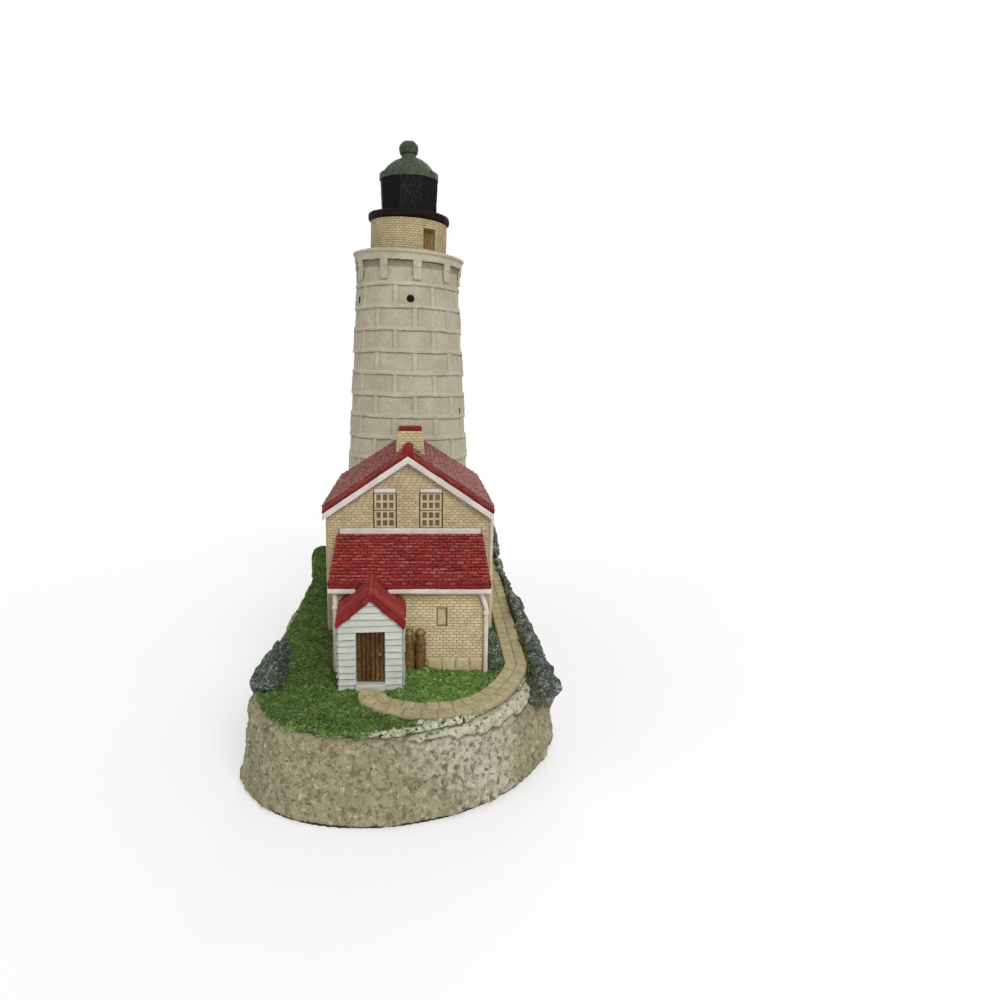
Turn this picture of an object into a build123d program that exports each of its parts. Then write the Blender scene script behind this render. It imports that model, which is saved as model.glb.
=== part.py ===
from build123d import *
from math import cos, degrees, radians, sin, tan
import os

# A cast and painted lighthouse figurine: a round tower behind a keeper's house on a headland.
# Lengths in mm. +X is the viewer's right, +Y runs from the porch back to the tower, +Z is up.

# Fits between the castings
glue_gap = 0.12
spigot_depth = 1.6

# House plan
house_width = 34.6
house_length = 40.5
leanto_setback = 2.5
leanto_x = 0.45
leanto_depth = 17.5
porch_width = 11.8
porch_depth = 7.4
porch_inset = 1.75

# Yard round the buildings
side_yard = 13.7
front_yard = 17.2
tower_gap = 4.7
back_yard = 4.7
tower_x = -0.65

# Headland: felt, cliff and turf
felt_thickness = 0.6
felt_inset = 0.5
cliff_draft = 9.0
lawn_front_z = 15.4
lawn_slope = 5.2
lawn_thickness = 1.2
lawn_rim = 0.8
crest_room = 4.0
nose_x = -8.0
nose_left_depth = 18.0
nose_right_depth = 40.0
tail_depth = 34.0
tail_narrowing = 3.0

# Footpath
path_width = 4.6
path_thickness = 1.0
path_rise = 0.25
path_verge = 4.15
path_sag = 6.2
path_gap = 2.2
path_bend = 10.0

# Levels of the house
house_floor_z = 15.2
eave_over_leanto = 5.7
house_pitch = 32.3
house_roof_thickness = 1.25
house_roof_side = 0.9
house_roof_end = 1.5
ridge_roll_radius = 1.0
ridge_roll_drop = 0.3
fascia_width = 1.25

# Gable windows
window_width = 4.8
window_height = 7.5
window_spacing = 9.8
window_thickness = 0.7
window_frame = 0.35
window_bar = 0.3
pane_depth = 0.3
pane_columns = 3
pane_rows = 4
lintel_width = 4.6
lintel_height = 0.9
lintel_thickness = 0.4

# Chimney
chimney_x = 0.4
chimney_setback = 7.0
chimney_width = 6.7
chimney_top_width = 5.4
chimney_depth = 5.2
chimney_top_depth = 4.6
chimney_height = 4.0
cap_inset = 0.15
cap_height = 0.9

# Lean-to
leanto_eave_height = 19.25
leanto_pitch = 16.2
leanto_roof_thickness = 0.85
leanto_roof_side = 0.75
leanto_eave = 2.0
flashing_height = 1.15
flashing_thickness = 0.6
flashing_inset = 0.5
niche_width = 1.9
niche_height = 3.8
niche_x = 6.7
niche_sill_height = 11.2
niche_depth = 0.9
niche_panel_thickness = 0.4
stone_height = 2.4
stone_proud = 0.4
stone_count = 4
stone_joint = 0.35

# Gutters and downspouts
gutter_height = 1.0
gutter_depth = 1.2
gutter_edge = 0.4
pipe_radius = 0.45
pipe_bend = 1.0
pipe_jog = 1.2
pipe_jog_top = 1.0
pipe_jog_drop = 3.4
collar_proud = 0.18
collar_height = 0.6
side_pipe_setback = 1.4
left_pipe_inset = 0.6
right_pipe_inset = 0.1

# Porch
porch_wall_height = 13.95
porch_pitch = 40.0
porch_roof_thickness = 1.4
porch_roof_side = 0.4
porch_roof_front = 0.8
door_width = 5.3
door_height = 10.0
door_sill_height = 3.0
door_recess = 1.0
door_thickness = 0.6
knob_radius = 0.35
knob_inset = 0.9
knob_height = 5.4
step_width = 5.5
step_depth = 0.9

# Bollards
bollard_radius = 1.05
bollard_height = 9.0
bollard_shoulder = 6.6
bollard_neck = 7.2
bollard_neck_radius = 0.72
bollard_head_radius = 0.88

# Shrub
shrub_radius = 1.7
shrub_height = 5.8
shrub_clumps = 3
shrub_gap = 0.3

# Boulders along the edge
boulder_pitch = 7.0
boulder_overlap = 4.0
boulder_root = 4.8
left_rocks_start = 21.0
left_rocks_run = 7.0
left_rock_width = 5.8
left_rock_height = 8.2
left_rock_inset = 5.0
right_rocks_start = 23.0
right_rock_width = 3.8
right_rock_height = 6.2
right_rock_inset = 5.2
back_rocks_start = 9.0
back_rocks_run = 8.5
back_rock_width = 5.6
back_rock_height = 11.0
back_rock_inset = 5.8

# Tower shaft
shaft_foot_z = 16.0
shaft_height = 86.6
shaft_top_radius = 14.3
shaft_taper = 0.057
hoop_drop = 4.6
hoop_pitch = 5.94
hoop_count = 13
hoop_height = 1.3
hoop_relief = 0.36
strap_relief = 0.3
strap_width = 1.1
strap_count = 9
strap_start = -12.0
porthole_count = 5
porthole_start = 3.7
porthole_drop = 8.0
porthole_radius = 1.16
porthole_depth = 0.5
slit_angle = 67.0
slit_drop = 38.6
slit_width = 1.7
slit_height = 2.6
slit_depth = 0.6

# Gallery: heights above the shaft's top and overhangs past it
gallery_soffit_rise = 2.1
gallery_fascia_height = 1.9
gallery_rim_height = 0.6
gallery_deck_rise = 1.4
gallery_overhang = 1.5
gallery_fascia_overhang = 1.0
corbel_count = 10
corbel_start = 10.5
corbel_width = 2.2
corbel_hang = 2.9
corbel_lower_height = 3.2
corbel_lower_overhang = 0.65
corbel_upper_overhang = 0.95

# Watch room, lantern and dome
watch_setback = 3.6
watch_height = 7.9
watch_door_angle = 33.0
watch_door_width = 3.8
watch_door_height = 5.6
watch_door_recess = 1.9
watch_door_thickness = 0.5
deck_overhang = 0.75
deck_height = 2.2
deck_edge = 0.7
lantern_walk = 3.95
lantern_height = 9.3
lantern_flare = 2.4
lantern_turn = 5.0
dome_overhang = 0.8
dome_rim_height = 1.9
dome_rim_width = 0.8
dome_rise = 4.4
dome_swell = 10.0
dome_neck_radius = 2.1
dome_neck_height = 1.0
vent_radius = 2.64
vent_height = 3.8
wide_spigot = 7.0
narrow_spigot = 3.0

# Levels and radii of the tower, from the ground up
shaft_foot_radius = shaft_top_radius + shaft_taper * shaft_height
shaft_top_z = shaft_foot_z + shaft_height
hoop_top_z = shaft_top_z - hoop_drop
porthole_z = shaft_top_z - porthole_drop
slit_z = shaft_top_z - slit_drop
corbel_lower_z = shaft_top_z - corbel_hang
corbel_upper_z = corbel_lower_z + corbel_lower_height
corbel_lower_radius = shaft_top_radius + corbel_lower_overhang
corbel_upper_radius = shaft_top_radius + corbel_upper_overhang
gallery_soffit_z = shaft_top_z + gallery_soffit_rise
gallery_fascia_z = gallery_soffit_z + gallery_fascia_height
gallery_rim_z = gallery_fascia_z + gallery_rim_height
gallery_deck_z = gallery_rim_z + gallery_deck_rise
gallery_radius = shaft_top_radius + gallery_overhang
gallery_fascia_radius = shaft_top_radius + gallery_fascia_overhang
watch_radius = shaft_top_radius - watch_setback
watch_top_z = gallery_deck_z + watch_height
deck_radius = watch_radius + deck_overhang
deck_top_z = watch_top_z + deck_height
lantern_radius = deck_radius - lantern_walk
lantern_top_z = deck_top_z + lantern_height
dome_rim_radius = lantern_radius + dome_overhang
dome_rim_z = lantern_top_z + dome_rim_height
dome_shoulder_radius = dome_rim_radius - dome_rim_width
dome_neck_z = dome_rim_z + dome_rise
dome_top_z = dome_neck_z + dome_neck_height
vent_top_z = dome_top_z + vent_height

# Places worked out from the sizes
base_width = house_width + 2 * side_yard
tower_run = tower_gap + 2 * shaft_foot_radius + back_yard
base_length = front_yard + porch_depth + leanto_depth + house_length + tower_run
front_y = -base_length / 2
porch_y = front_y + front_yard
leanto_y = porch_y + porch_depth
house_y = leanto_y + leanto_depth
house_back_y = house_y + house_length
tower_y = house_back_y + tower_gap + shaft_foot_radius
leanto_width = house_width - 2 * leanto_setback
porch_x = leanto_x - leanto_width / 2 + porch_inset + porch_width / 2
house_tan = tan(radians(house_pitch))
leanto_tan = tan(radians(leanto_pitch))
porch_tan = tan(radians(porch_pitch))
leanto_eave_z = house_floor_z + leanto_eave_height
niche_z = house_floor_z + niche_sill_height
porch_eave_z = house_floor_z + porch_wall_height
door_sill_z = house_floor_z + door_sill_height
porch_apex_z = porch_eave_z + porch_width / 2 * porch_tan
leanto_eave_y = leanto_y - leanto_eave
leanto_lift = leanto_roof_thickness / cos(radians(leanto_pitch))
leanto_top_z = leanto_eave_z + (leanto_depth + leanto_eave) * leanto_tan + leanto_lift
house_eave_z = leanto_top_z + eave_over_leanto
house_apex_z = house_eave_z + house_width / 2 * house_tan
house_lift = house_roof_thickness / cos(radians(house_pitch))
porch_lift = porch_roof_thickness / cos(radians(porch_pitch))
socket_room = hoop_relief + glue_gap
tower_axis = Axis((tower_x, tower_y, 0), (0, 0, 1))
tower_plane = Plane(origin=(tower_x, tower_y, 0), x_dir=(1, 0, 0), z_dir=(0, -1, 0))
slope_normal = (0, -sin(radians(lawn_slope)), cos(radians(lawn_slope)))
lawn_plane = Plane(origin=(0, front_y, lawn_front_z), x_dir=(1, 0, 0), z_dir=slope_normal)
soil_plane = lawn_plane.offset(-lawn_thickness)
stand = (Align.CENTER, Align.CENTER, Align.MIN)

os.makedirs("parts", exist_ok=True)


def lawn_z(y):
    """Height of the turf at depth y."""
    return lawn_front_z + (y - front_y) * tan(radians(lawn_slope))


def shaft_radius(z):
    """Radius of the plain shaft at height z."""
    return shaft_top_radius + shaft_taper * (shaft_top_z - z)


def leanto_under(y):
    """Height of the lean-to roof's underside at depth y."""
    return leanto_eave_z + (y - leanto_eave_y) * leanto_tan


def facing(y):
    """Upright plane at depth y that faces the viewer."""
    return Plane.XZ.offset(-y)


def round_tower(angle, radius, z):
    """Plane on the tower that faces outwards, angle degrees to the right of the viewer."""
    outward = (sin(radians(angle)), -cos(radians(angle)), 0)
    origin = (tower_x + radius * outward[0], tower_y + radius * outward[1], z)
    return Plane(origin=origin, x_dir=(-outward[1], outward[0], 0), z_dir=outward)


def finish(piece, name):
    """Label a finished piece and write it."""
    piece.part.label = name
    export_step(piece.part, f"parts/{name}.step")


crest_z = lawn_z(-front_y) + crest_room
crest_inset = (crest_z - felt_thickness) * tan(radians(cliff_draft))


def shore(y):
    """Half width of the headland's foot at depth y, behind its nose."""
    nose_y = front_y + nose_left_depth
    tail_y = -front_y - tail_depth
    return base_width / 2 - tail_narrowing * (y - nose_y) / (tail_y - nose_y)


def headland(inset, z):
    """Plan outline of the headland, drawn in by inset, at height z."""
    half_width = base_width / 2 - inset
    left_y = front_y + nose_left_depth
    right_y = front_y + nose_right_depth
    tail_y = -front_y - tail_depth
    with BuildSketch(Plane.XY.offset(z)) as outline:
        with BuildLine():
            left = EllipticalCenterArc(
                (nose_x, left_y), half_width + nose_x, nose_left_depth - inset, 180, arc_size=90)
            right = EllipticalCenterArc(
                (nose_x, right_y), half_width - nose_x, nose_right_depth - inset, 270, arc_size=90)
            back_right = EllipticalCenterArc(
                (0, tail_y), half_width - tail_narrowing, tail_depth - inset, 0, arc_size=90)
            back_left = EllipticalCenterArc(
                (0, tail_y), half_width - tail_narrowing, tail_depth - inset, 90, arc_size=90)
            Line(right @ 1, back_right @ 0)
            Line(back_left @ 1, left @ 0)
        make_face()
    return outline.sketch


# Felt pad under the base
with BuildPart() as felt_pad:
    extrude(headland(felt_inset, 0), amount=felt_thickness)
finish(felt_pad, "felt_pad")

# Room that the house and the tower take in the ground
with BuildPart() as ground_sockets:
    with BuildSketch(Plane.XY.offset(house_floor_z)):
        with Locations((0, (house_y + house_back_y) / 2)):
            Rectangle(house_width + 2 * glue_gap, house_length + 2 * glue_gap)
        with Locations((leanto_x, (leanto_y + house_y) / 2)):
            Rectangle(leanto_width + 2 * glue_gap, leanto_depth + 2 * glue_gap)
        with Locations((porch_x, (porch_y + leanto_y) / 2)):
            Rectangle(porch_width + 2 * glue_gap, porch_depth + 2 * glue_gap)
    extrude(amount=crest_z - house_floor_z)
    with Locations((tower_x, tower_y, shaft_foot_z)):
        Cone(
            shaft_foot_radius + socket_room,
            shaft_radius(crest_z) + socket_room,
            crest_z - shaft_foot_z,
            align=stand,
        )

# Line of the footpath on the turf, from the step round the house's right corner to the tower
step_y = porch_y - step_depth
path_far_y = house_back_y + tower_gap
path_side_x = house_width / 2 + path_verge
path_start = (porch_x, step_y - path_gap - front_y)
path_low = (porch_x + porch_width, step_y - path_sag - front_y)
path_turn = (path_side_x - path_bend / 2, step_y - front_y)
path_side = (path_side_x, step_y + path_bend - front_y)
path_end = (path_side_x, path_far_y - front_y)


def footpath_outline(width):
    """Strip of the given width along the footpath's line, drawn on the turf."""
    with BuildSketch(lawn_plane) as strip:
        with BuildLine() as centre:
            front = ThreePointArc(path_start, path_low, path_turn)
            corner = TangentArc(front @ 1, path_side, tangent=front % 1)
            Line(corner @ 1, path_end)
        trace(centre.wires(), width)
    return strip.sketch


# Turf, sloping up to the back, with the path's groove and the buildings' sockets
with BuildPart() as lawn:
    loft([headland(lawn_rim, felt_thickness), headland(lawn_rim + crest_inset, crest_z)], ruled=True)
    split(bisect_by=soil_plane, keep=Keep.TOP)
    split(bisect_by=lawn_plane, keep=Keep.BOTTOM)
    add(ground_sockets.part, mode=Mode.SUBTRACT)
    extrude(
        footpath_outline(path_width + 2 * glue_gap),
        amount=-(path_thickness - path_rise),
        mode=Mode.SUBTRACT,
    )
finish(lawn, "lawn")

# Paved footpath in its groove
with BuildPart() as footpath:
    extrude(footpath_outline(path_width), amount=path_rise)
    extrude(footpath_outline(path_width), amount=-(path_thickness - path_rise))
    add(ground_sockets.part, mode=Mode.SUBTRACT)
finish(footpath, "footpath")

# Cliff casting, leaning in towards its top
with BuildPart() as cliff_base:
    loft([headland(0, felt_thickness), headland(crest_inset, crest_z)], ruled=True)
    split(bisect_by=soil_plane, keep=Keep.BOTTOM)
    add(ground_sockets.part, mode=Mode.SUBTRACT)
finish(cliff_base, "cliff_base")

# Tower shaft with its hoops and staggered straps
with BuildPart() as tower_shaft:
    section = [(0, shaft_foot_z), (shaft_foot_radius, shaft_foot_z)]
    for hoop in reversed(range(hoop_count)):
        low_z = hoop_top_z - hoop * hoop_pitch
        high_z = low_z + hoop_height
        section += [
            (shaft_radius(low_z), low_z),
            (shaft_radius(low_z) + hoop_relief, low_z),
            (shaft_radius(high_z) + hoop_relief, high_z),
            (shaft_radius(high_z), high_z),
        ]
    section += [(shaft_top_radius, shaft_top_z), (0, shaft_top_z)]
    with BuildSketch(tower_plane):
        Polygon(*section, align=None)
    revolve(axis=tower_axis)
    with Locations((tower_x, tower_y, shaft_top_z)):
        Cylinder(wide_spigot, spigot_depth, align=stand)
    straps = []
    for course in range(1, hoop_count):
        low_z = hoop_top_z - course * hoop_pitch + hoop_height / 2
        high_z = low_z + hoop_pitch
        low_radius = shaft_radius(low_z)
        high_radius = shaft_radius(high_z)
        arc = degrees(strap_width / low_radius)
        with BuildSketch(tower_plane, mode=Mode.PRIVATE) as strap_face:
            Polygon(
                (low_radius - strap_relief, low_z),
                (low_radius + strap_relief, low_z),
                (high_radius + strap_relief, high_z),
                (high_radius - strap_relief, high_z),
                align=None,
            )
        strap = revolve(strap_face.sketch, tower_axis, revolution_arc=arc, mode=Mode.PRIVATE)
        stagger = (course - 1) % 2 / 2
        for place in range(strap_count):
            turn = strap_start + (place + stagger) * 360 / strap_count - 90 - arc / 2
            straps.append(strap.rotate(tower_axis, turn))
    add(straps)
    for place in range(porthole_count):
        angle = porthole_start + place * 360 / porthole_count
        with Locations(round_tower(angle, shaft_radius(porthole_z), porthole_z)):
            Cylinder(porthole_radius, 2 * porthole_depth, mode=Mode.SUBTRACT)
    with Locations(round_tower(slit_angle, shaft_radius(slit_z), slit_z)):
        Box(slit_width, slit_height, 2 * slit_depth, mode=Mode.SUBTRACT)
finish(tower_shaft, "tower_shaft")

# Black porthole discs, one for each recess
with BuildPart() as portholes:
    for place in range(porthole_count):
        angle = porthole_start + place * 360 / porthole_count
        with Locations(round_tower(angle, shaft_radius(porthole_z) - porthole_depth, porthole_z)):
            Cylinder(porthole_radius - glue_gap, porthole_depth / 2, align=stand)
finish(portholes, "portholes")

# Dark pane of the shaft's side window
with BuildPart() as shaft_window:
    with Locations(round_tower(slit_angle, shaft_radius(slit_z) - slit_depth, slit_z)):
        Box(slit_width - 2 * glue_gap, slit_height - 2 * glue_gap, slit_depth / 2, align=stand)
finish(shaft_window, "shaft_window")

# Gallery: rim, soffit and stepped corbels that hang outside the shaft's top
with BuildPart() as tower_gallery:
    with BuildSketch(tower_plane):
        Polygon(
            (0, shaft_top_z),
            (shaft_top_radius, shaft_top_z),
            (shaft_top_radius, gallery_soffit_z),
            (gallery_fascia_radius, gallery_soffit_z),
            (gallery_fascia_radius, gallery_fascia_z),
            (gallery_radius, gallery_fascia_z),
            (gallery_radius, gallery_rim_z),
            (watch_radius, gallery_deck_z),
            (0, gallery_deck_z),
            align=None,
        )
    revolve(axis=tower_axis)
    for low_z, high_z, radius in (
        (corbel_lower_z, corbel_upper_z, corbel_lower_radius),
        (corbel_upper_z, gallery_soffit_z, corbel_upper_radius),
    ):
        with Locations((tower_x, tower_y, low_z)):
            with PolarLocations(watch_radius, corbel_count, corbel_start - 90):
                Box(
                    radius - watch_radius,
                    corbel_width,
                    high_z - low_z,
                    align=(Align.MIN, Align.CENTER, Align.MIN),
                )
    with Locations((tower_x, tower_y, corbel_lower_z)):
        Cone(
            shaft_radius(corbel_lower_z) + glue_gap,
            shaft_top_radius + glue_gap,
            shaft_top_z - corbel_lower_z,
            align=stand,
            mode=Mode.SUBTRACT,
        )
    with Locations((tower_x, tower_y, shaft_top_z)):
        Cylinder(wide_spigot + glue_gap, spigot_depth + glue_gap, align=stand, mode=Mode.SUBTRACT)
    with Locations((tower_x, tower_y, gallery_deck_z)):
        Cylinder(wide_spigot, spigot_depth, align=stand)
finish(tower_gallery, "tower_gallery")

# Watch room drum with a deep door niche
watch_door_radius = watch_radius - watch_door_recess
with BuildPart() as watch_room:
    with Locations((tower_x, tower_y, gallery_deck_z)):
        Cylinder(watch_radius, watch_top_z - gallery_deck_z, align=stand)
        Cylinder(wide_spigot + glue_gap, spigot_depth + glue_gap, align=stand, mode=Mode.SUBTRACT)
    with Locations((tower_x, tower_y, watch_top_z)):
        Cylinder(narrow_spigot, spigot_depth, align=stand)
    with BuildSketch(round_tower(watch_door_angle, watch_door_radius, gallery_deck_z)):
        with Locations((0, watch_door_height / 2)):
            Rectangle(watch_door_width, watch_door_height)
    extrude(amount=2 * watch_door_recess, mode=Mode.SUBTRACT)
finish(watch_room, "watch_room")

# Brown door at the back of the niche
with BuildPart() as watch_room_door:
    with BuildSketch(round_tower(watch_door_angle, watch_door_radius, gallery_deck_z)):
        with Locations((0, watch_door_height / 2)):
            Rectangle(watch_door_width - 2 * glue_gap, watch_door_height - 2 * glue_gap)
    extrude(amount=watch_door_thickness)
finish(watch_room_door, "watch_room_door")

# Round lantern deck
with BuildPart() as lantern_deck:
    with Locations((tower_x, tower_y, watch_top_z)):
        Cylinder(deck_radius, deck_top_z - watch_top_z, align=stand)
        Cylinder(narrow_spigot + glue_gap, spigot_depth + glue_gap, align=stand, mode=Mode.SUBTRACT)
    rims = lantern_deck.edges().filter_by(GeomType.CIRCLE).sort_by(SortBy.RADIUS)[-2:]
    fillet(rims, radius=deck_edge)
    with Locations((tower_x, tower_y, deck_top_z)):
        Cylinder(narrow_spigot, spigot_depth, align=stand)
finish(lantern_deck, "lantern_deck")

# Eight-sided lantern room, a little wider at the top
with BuildPart() as lantern_room:
    with BuildSketch(Plane(origin=(tower_x, tower_y, deck_top_z))):
        RegularPolygon(
            lantern_radius, 8, major_radius=False, rotation=180 / 8 + lantern_turn)
    extrude(amount=lantern_top_z - deck_top_z, taper=-lantern_flare)
    with Locations((tower_x, tower_y, deck_top_z)):
        Cylinder(narrow_spigot + glue_gap, spigot_depth + glue_gap, align=stand, mode=Mode.SUBTRACT)
    with Locations((tower_x, tower_y, lantern_top_z)):
        Cylinder(narrow_spigot, spigot_depth, align=stand)
finish(lantern_room, "lantern_room")

# Green dome with a rolled rim and an ogee rise to its neck
with BuildPart() as lantern_dome:
    with BuildSketch(tower_plane):
        with BuildLine():
            skirt = Polyline(
                (0, dome_top_z),
                (0, lantern_top_z),
                (dome_rim_radius, lantern_top_z),
                (dome_rim_radius, dome_rim_z),
                (dome_shoulder_radius, dome_rim_z),
            )
            swell = RadiusArc(skirt @ 1, (dome_neck_radius, dome_neck_z), -dome_swell)
            Polyline(swell @ 1, (dome_neck_radius, dome_top_z), skirt @ 0)
        make_face()
    revolve(axis=tower_axis)
    with Locations((tower_x, tower_y, lantern_top_z)):
        Cylinder(narrow_spigot + glue_gap, spigot_depth + glue_gap, align=stand, mode=Mode.SUBTRACT)
finish(lantern_dome, "lantern_dome")

# Ball vent, cut flat where it sits on the dome's neck
with BuildPart() as ball_vent:
    with Locations((tower_x, tower_y, vent_top_z - vent_radius)):
        Sphere(vent_radius)
    split(bisect_by=Plane.XY.offset(dome_top_z), keep=Keep.TOP)
finish(ball_vent, "ball_vent")

# House: a plain block with gables, rebated for its two windows
window_z = leanto_top_z + flashing_height + window_height / 2
window_places = [(-window_spacing / 2, window_z), (window_spacing / 2, window_z)]
with BuildPart() as house_walls:
    with BuildSketch(facing(house_back_y)):
        Polygon(
            (-house_width / 2, house_floor_z),
            (house_width / 2, house_floor_z),
            (house_width / 2, house_eave_z),
            (0, house_apex_z),
            (-house_width / 2, house_eave_z),
            align=None,
        )
    extrude(amount=house_length)
    with BuildSketch(facing(house_y)):
        with Locations(*window_places):
            Rectangle(window_width + 2 * glue_gap, window_height + 2 * glue_gap)
    extrude(amount=-window_thickness, mode=Mode.SUBTRACT)
finish(house_walls, "house_walls")

# Twelve-pane windows in their rebates
pane_width = (window_width - 2 * window_frame - (pane_columns - 1) * window_bar) / pane_columns
pane_height = (window_height - 2 * window_frame - (pane_rows - 1) * window_bar) / pane_rows
for side, place in zip(("left", "right"), window_places):
    with BuildPart() as gable_window:
        with BuildSketch(facing(house_y + window_thickness)):
            with Locations(place):
                Rectangle(window_width, window_height)
        extrude(amount=window_thickness)
        with BuildSketch(facing(house_y)):
            with Locations(place):
                with GridLocations(
                    pane_width + window_bar, pane_height + window_bar, pane_columns, pane_rows
                ):
                    Rectangle(pane_width, pane_height)
        extrude(amount=-pane_depth, mode=Mode.SUBTRACT)
    finish(gable_window, f"gable_window_{side}")

# Lintels over the windows
with BuildPart() as window_lintels:
    with BuildSketch(facing(house_y)):
        with Locations(*window_places):
            with Locations((0, window_height / 2 + glue_gap + lintel_height / 2)):
                Rectangle(lintel_width, lintel_height)
    extrude(amount=lintel_thickness)
finish(window_lintels, "window_lintels")


def gable_section(half_span, apex_z, slope, drop):
    """Closed inverted V: its upper line has its apex at apex_z, its lower line lies drop below."""
    eave_z = apex_z - half_span * slope
    Polygon(
        (-half_span, eave_z - drop),
        (0, apex_z - drop),
        (half_span, eave_z - drop),
        (half_span, eave_z),
        (0, apex_z),
        (-half_span, eave_z),
        align=None,
    )


# Chimney, wider at its foot, notched to sit over the ridge
chimney_y = house_y + chimney_setback + chimney_depth / 2
chimney_top_z = house_apex_z + house_lift + chimney_height
chimney_foot_z = house_apex_z - (chimney_x + chimney_width / 2) * house_tan - house_lift
with BuildPart() as chimney_stack:
    with BuildSketch(Plane.XY.offset(chimney_foot_z)):
        with Locations((chimney_x, chimney_y)):
            Rectangle(chimney_width, chimney_depth)
    with BuildSketch(Plane.XY.offset(chimney_top_z - cap_height)):
        with Locations((chimney_x, chimney_y)):
            Rectangle(chimney_top_width, chimney_top_depth)
    loft(ruled=True)
    add(house_walls.part, mode=Mode.SUBTRACT)
finish(chimney_stack, "chimney_stack")

# Red cap on the chimney
with BuildPart() as chimney_cap:
    with Locations((chimney_x, chimney_y, chimney_top_z - cap_height)):
        Box(chimney_top_width - 2 * cap_inset, chimney_top_depth - 2 * cap_inset, cap_height, align=stand)
finish(chimney_cap, "chimney_cap")

# House roof with its ridge roll, open round the chimney
roof_half_span = house_width / 2 + house_roof_side
roof_length = house_length + 2 * house_roof_end
with BuildPart() as house_roof:
    with BuildSketch(facing(house_back_y + house_roof_end)):
        gable_section(roof_half_span, house_apex_z + house_lift, house_tan, house_lift)
        with Locations((0, house_apex_z + house_lift - ridge_roll_drop)):
            Circle(ridge_roll_radius)
    extrude(amount=roof_length)
    with Locations((chimney_x, chimney_y, chimney_foot_z)):
        Box(
            chimney_width + 2 * glue_gap,
            chimney_depth + 2 * glue_gap,
            chimney_height + house_apex_z - chimney_foot_z,
            align=stand,
            mode=Mode.SUBTRACT,
        )
finish(house_roof, "house_roof")

# White rake boards under the roof's two ends
fascia_drop = fascia_width / cos(radians(house_pitch))
for name, wall_y, reach in (
    ("front_fascia", house_y, house_roof_end),
    ("rear_fascia", house_back_y, -house_roof_end),
):
    with BuildPart() as fascia:
        with BuildSketch(facing(wall_y)):
            gable_section(roof_half_span, house_apex_z, house_tan, fascia_drop)
        extrude(amount=reach)
    finish(fascia, name)

# Lean-to walls under a single slope, rebated for the niche
with BuildPart() as leanto_walls:
    with BuildSketch(Plane.YZ.offset(leanto_x - leanto_width / 2)):
        Polygon(
            (leanto_y, house_floor_z),
            (house_y, house_floor_z),
            (house_y, leanto_under(house_y)),
            (leanto_y, leanto_under(leanto_y)),
            align=None,
        )
    extrude(amount=leanto_width)
    with BuildSketch(facing(leanto_y)):
        with Locations((niche_x, niche_z + niche_height / 2)):
            Rectangle(niche_width, niche_height)
    extrude(amount=-niche_depth, mode=Mode.SUBTRACT)
finish(leanto_walls, "leanto_walls")

# Blind panel at the back of the niche
with BuildPart() as leanto_niche_panel:
    with BuildSketch(facing(leanto_y + niche_depth)):
        with Locations((niche_x, niche_z + niche_height / 2)):
            Rectangle(niche_width - 2 * glue_gap, niche_height - 2 * glue_gap)
    extrude(amount=niche_panel_thickness)
finish(leanto_niche_panel, "leanto_niche_panel")

# Lean-to roof from the eave up to the house wall
leanto_roof_width = leanto_width + 2 * leanto_roof_side
with BuildPart() as leanto_roof:
    with BuildSketch(Plane.YZ.offset(leanto_x - leanto_roof_width / 2)):
        Polygon(
            (leanto_eave_y, leanto_under(leanto_eave_y)),
            (house_y, leanto_under(house_y)),
            (house_y, leanto_top_z),
            (leanto_eave_y, leanto_under(leanto_eave_y) + leanto_lift),
            align=None,
        )
    extrude(amount=leanto_roof_width)
finish(leanto_roof, "leanto_roof")

# White flashing along the roof's top edge
flashing_width = leanto_roof_width - 2 * flashing_inset
flashing_y = house_y - flashing_thickness
with BuildPart() as leanto_flashing:
    with BuildSketch(Plane.YZ.offset(leanto_x - flashing_width / 2)):
        Polygon(
            (flashing_y, leanto_under(flashing_y) + leanto_lift),
            (house_y, leanto_top_z),
            (house_y, leanto_top_z + flashing_height),
            (flashing_y, leanto_under(flashing_y) + leanto_lift + flashing_height),
            align=None,
        )
    extrude(amount=flashing_width)
finish(leanto_flashing, "leanto_flashing")

# Porch: a clapboard box with a gable, rebated for its door
door_x = porch_x
with BuildPart() as porch_walls:
    with BuildSketch(facing(leanto_y)):
        with Locations((porch_x, 0)):
            Polygon(
                (-porch_width / 2, house_floor_z),
                (porch_width / 2, house_floor_z),
                (porch_width / 2, porch_eave_z),
                (0, porch_apex_z),
                (-porch_width / 2, porch_eave_z),
                align=None,
            )
    extrude(amount=porch_depth)
    with BuildSketch(facing(porch_y)):
        with Locations((door_x, door_sill_z + door_height / 2)):
            Rectangle(door_width, door_height)
    extrude(amount=-door_recess, mode=Mode.SUBTRACT)
    add(leanto_roof.part, mode=Mode.SUBTRACT)
finish(porch_walls, "porch_walls")

# Plank door at the back of its recess
with BuildPart() as porch_door:
    with BuildSketch(facing(porch_y + door_recess)):
        with Locations((door_x, door_sill_z + door_height / 2)):
            Rectangle(door_width - 2 * glue_gap, door_height - 2 * glue_gap)
    extrude(amount=door_thickness)
finish(porch_door, "porch_door")

# Knob on the door's right side
door_face_y = porch_y + door_recess - door_thickness
with BuildPart() as door_knob:
    with Locations((door_x + door_width / 2 - knob_inset, door_face_y, door_sill_z + knob_height)):
        Sphere(knob_radius)
    split(bisect_by=facing(door_face_y), keep=Keep.TOP)
finish(door_knob, "door_knob")

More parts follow.
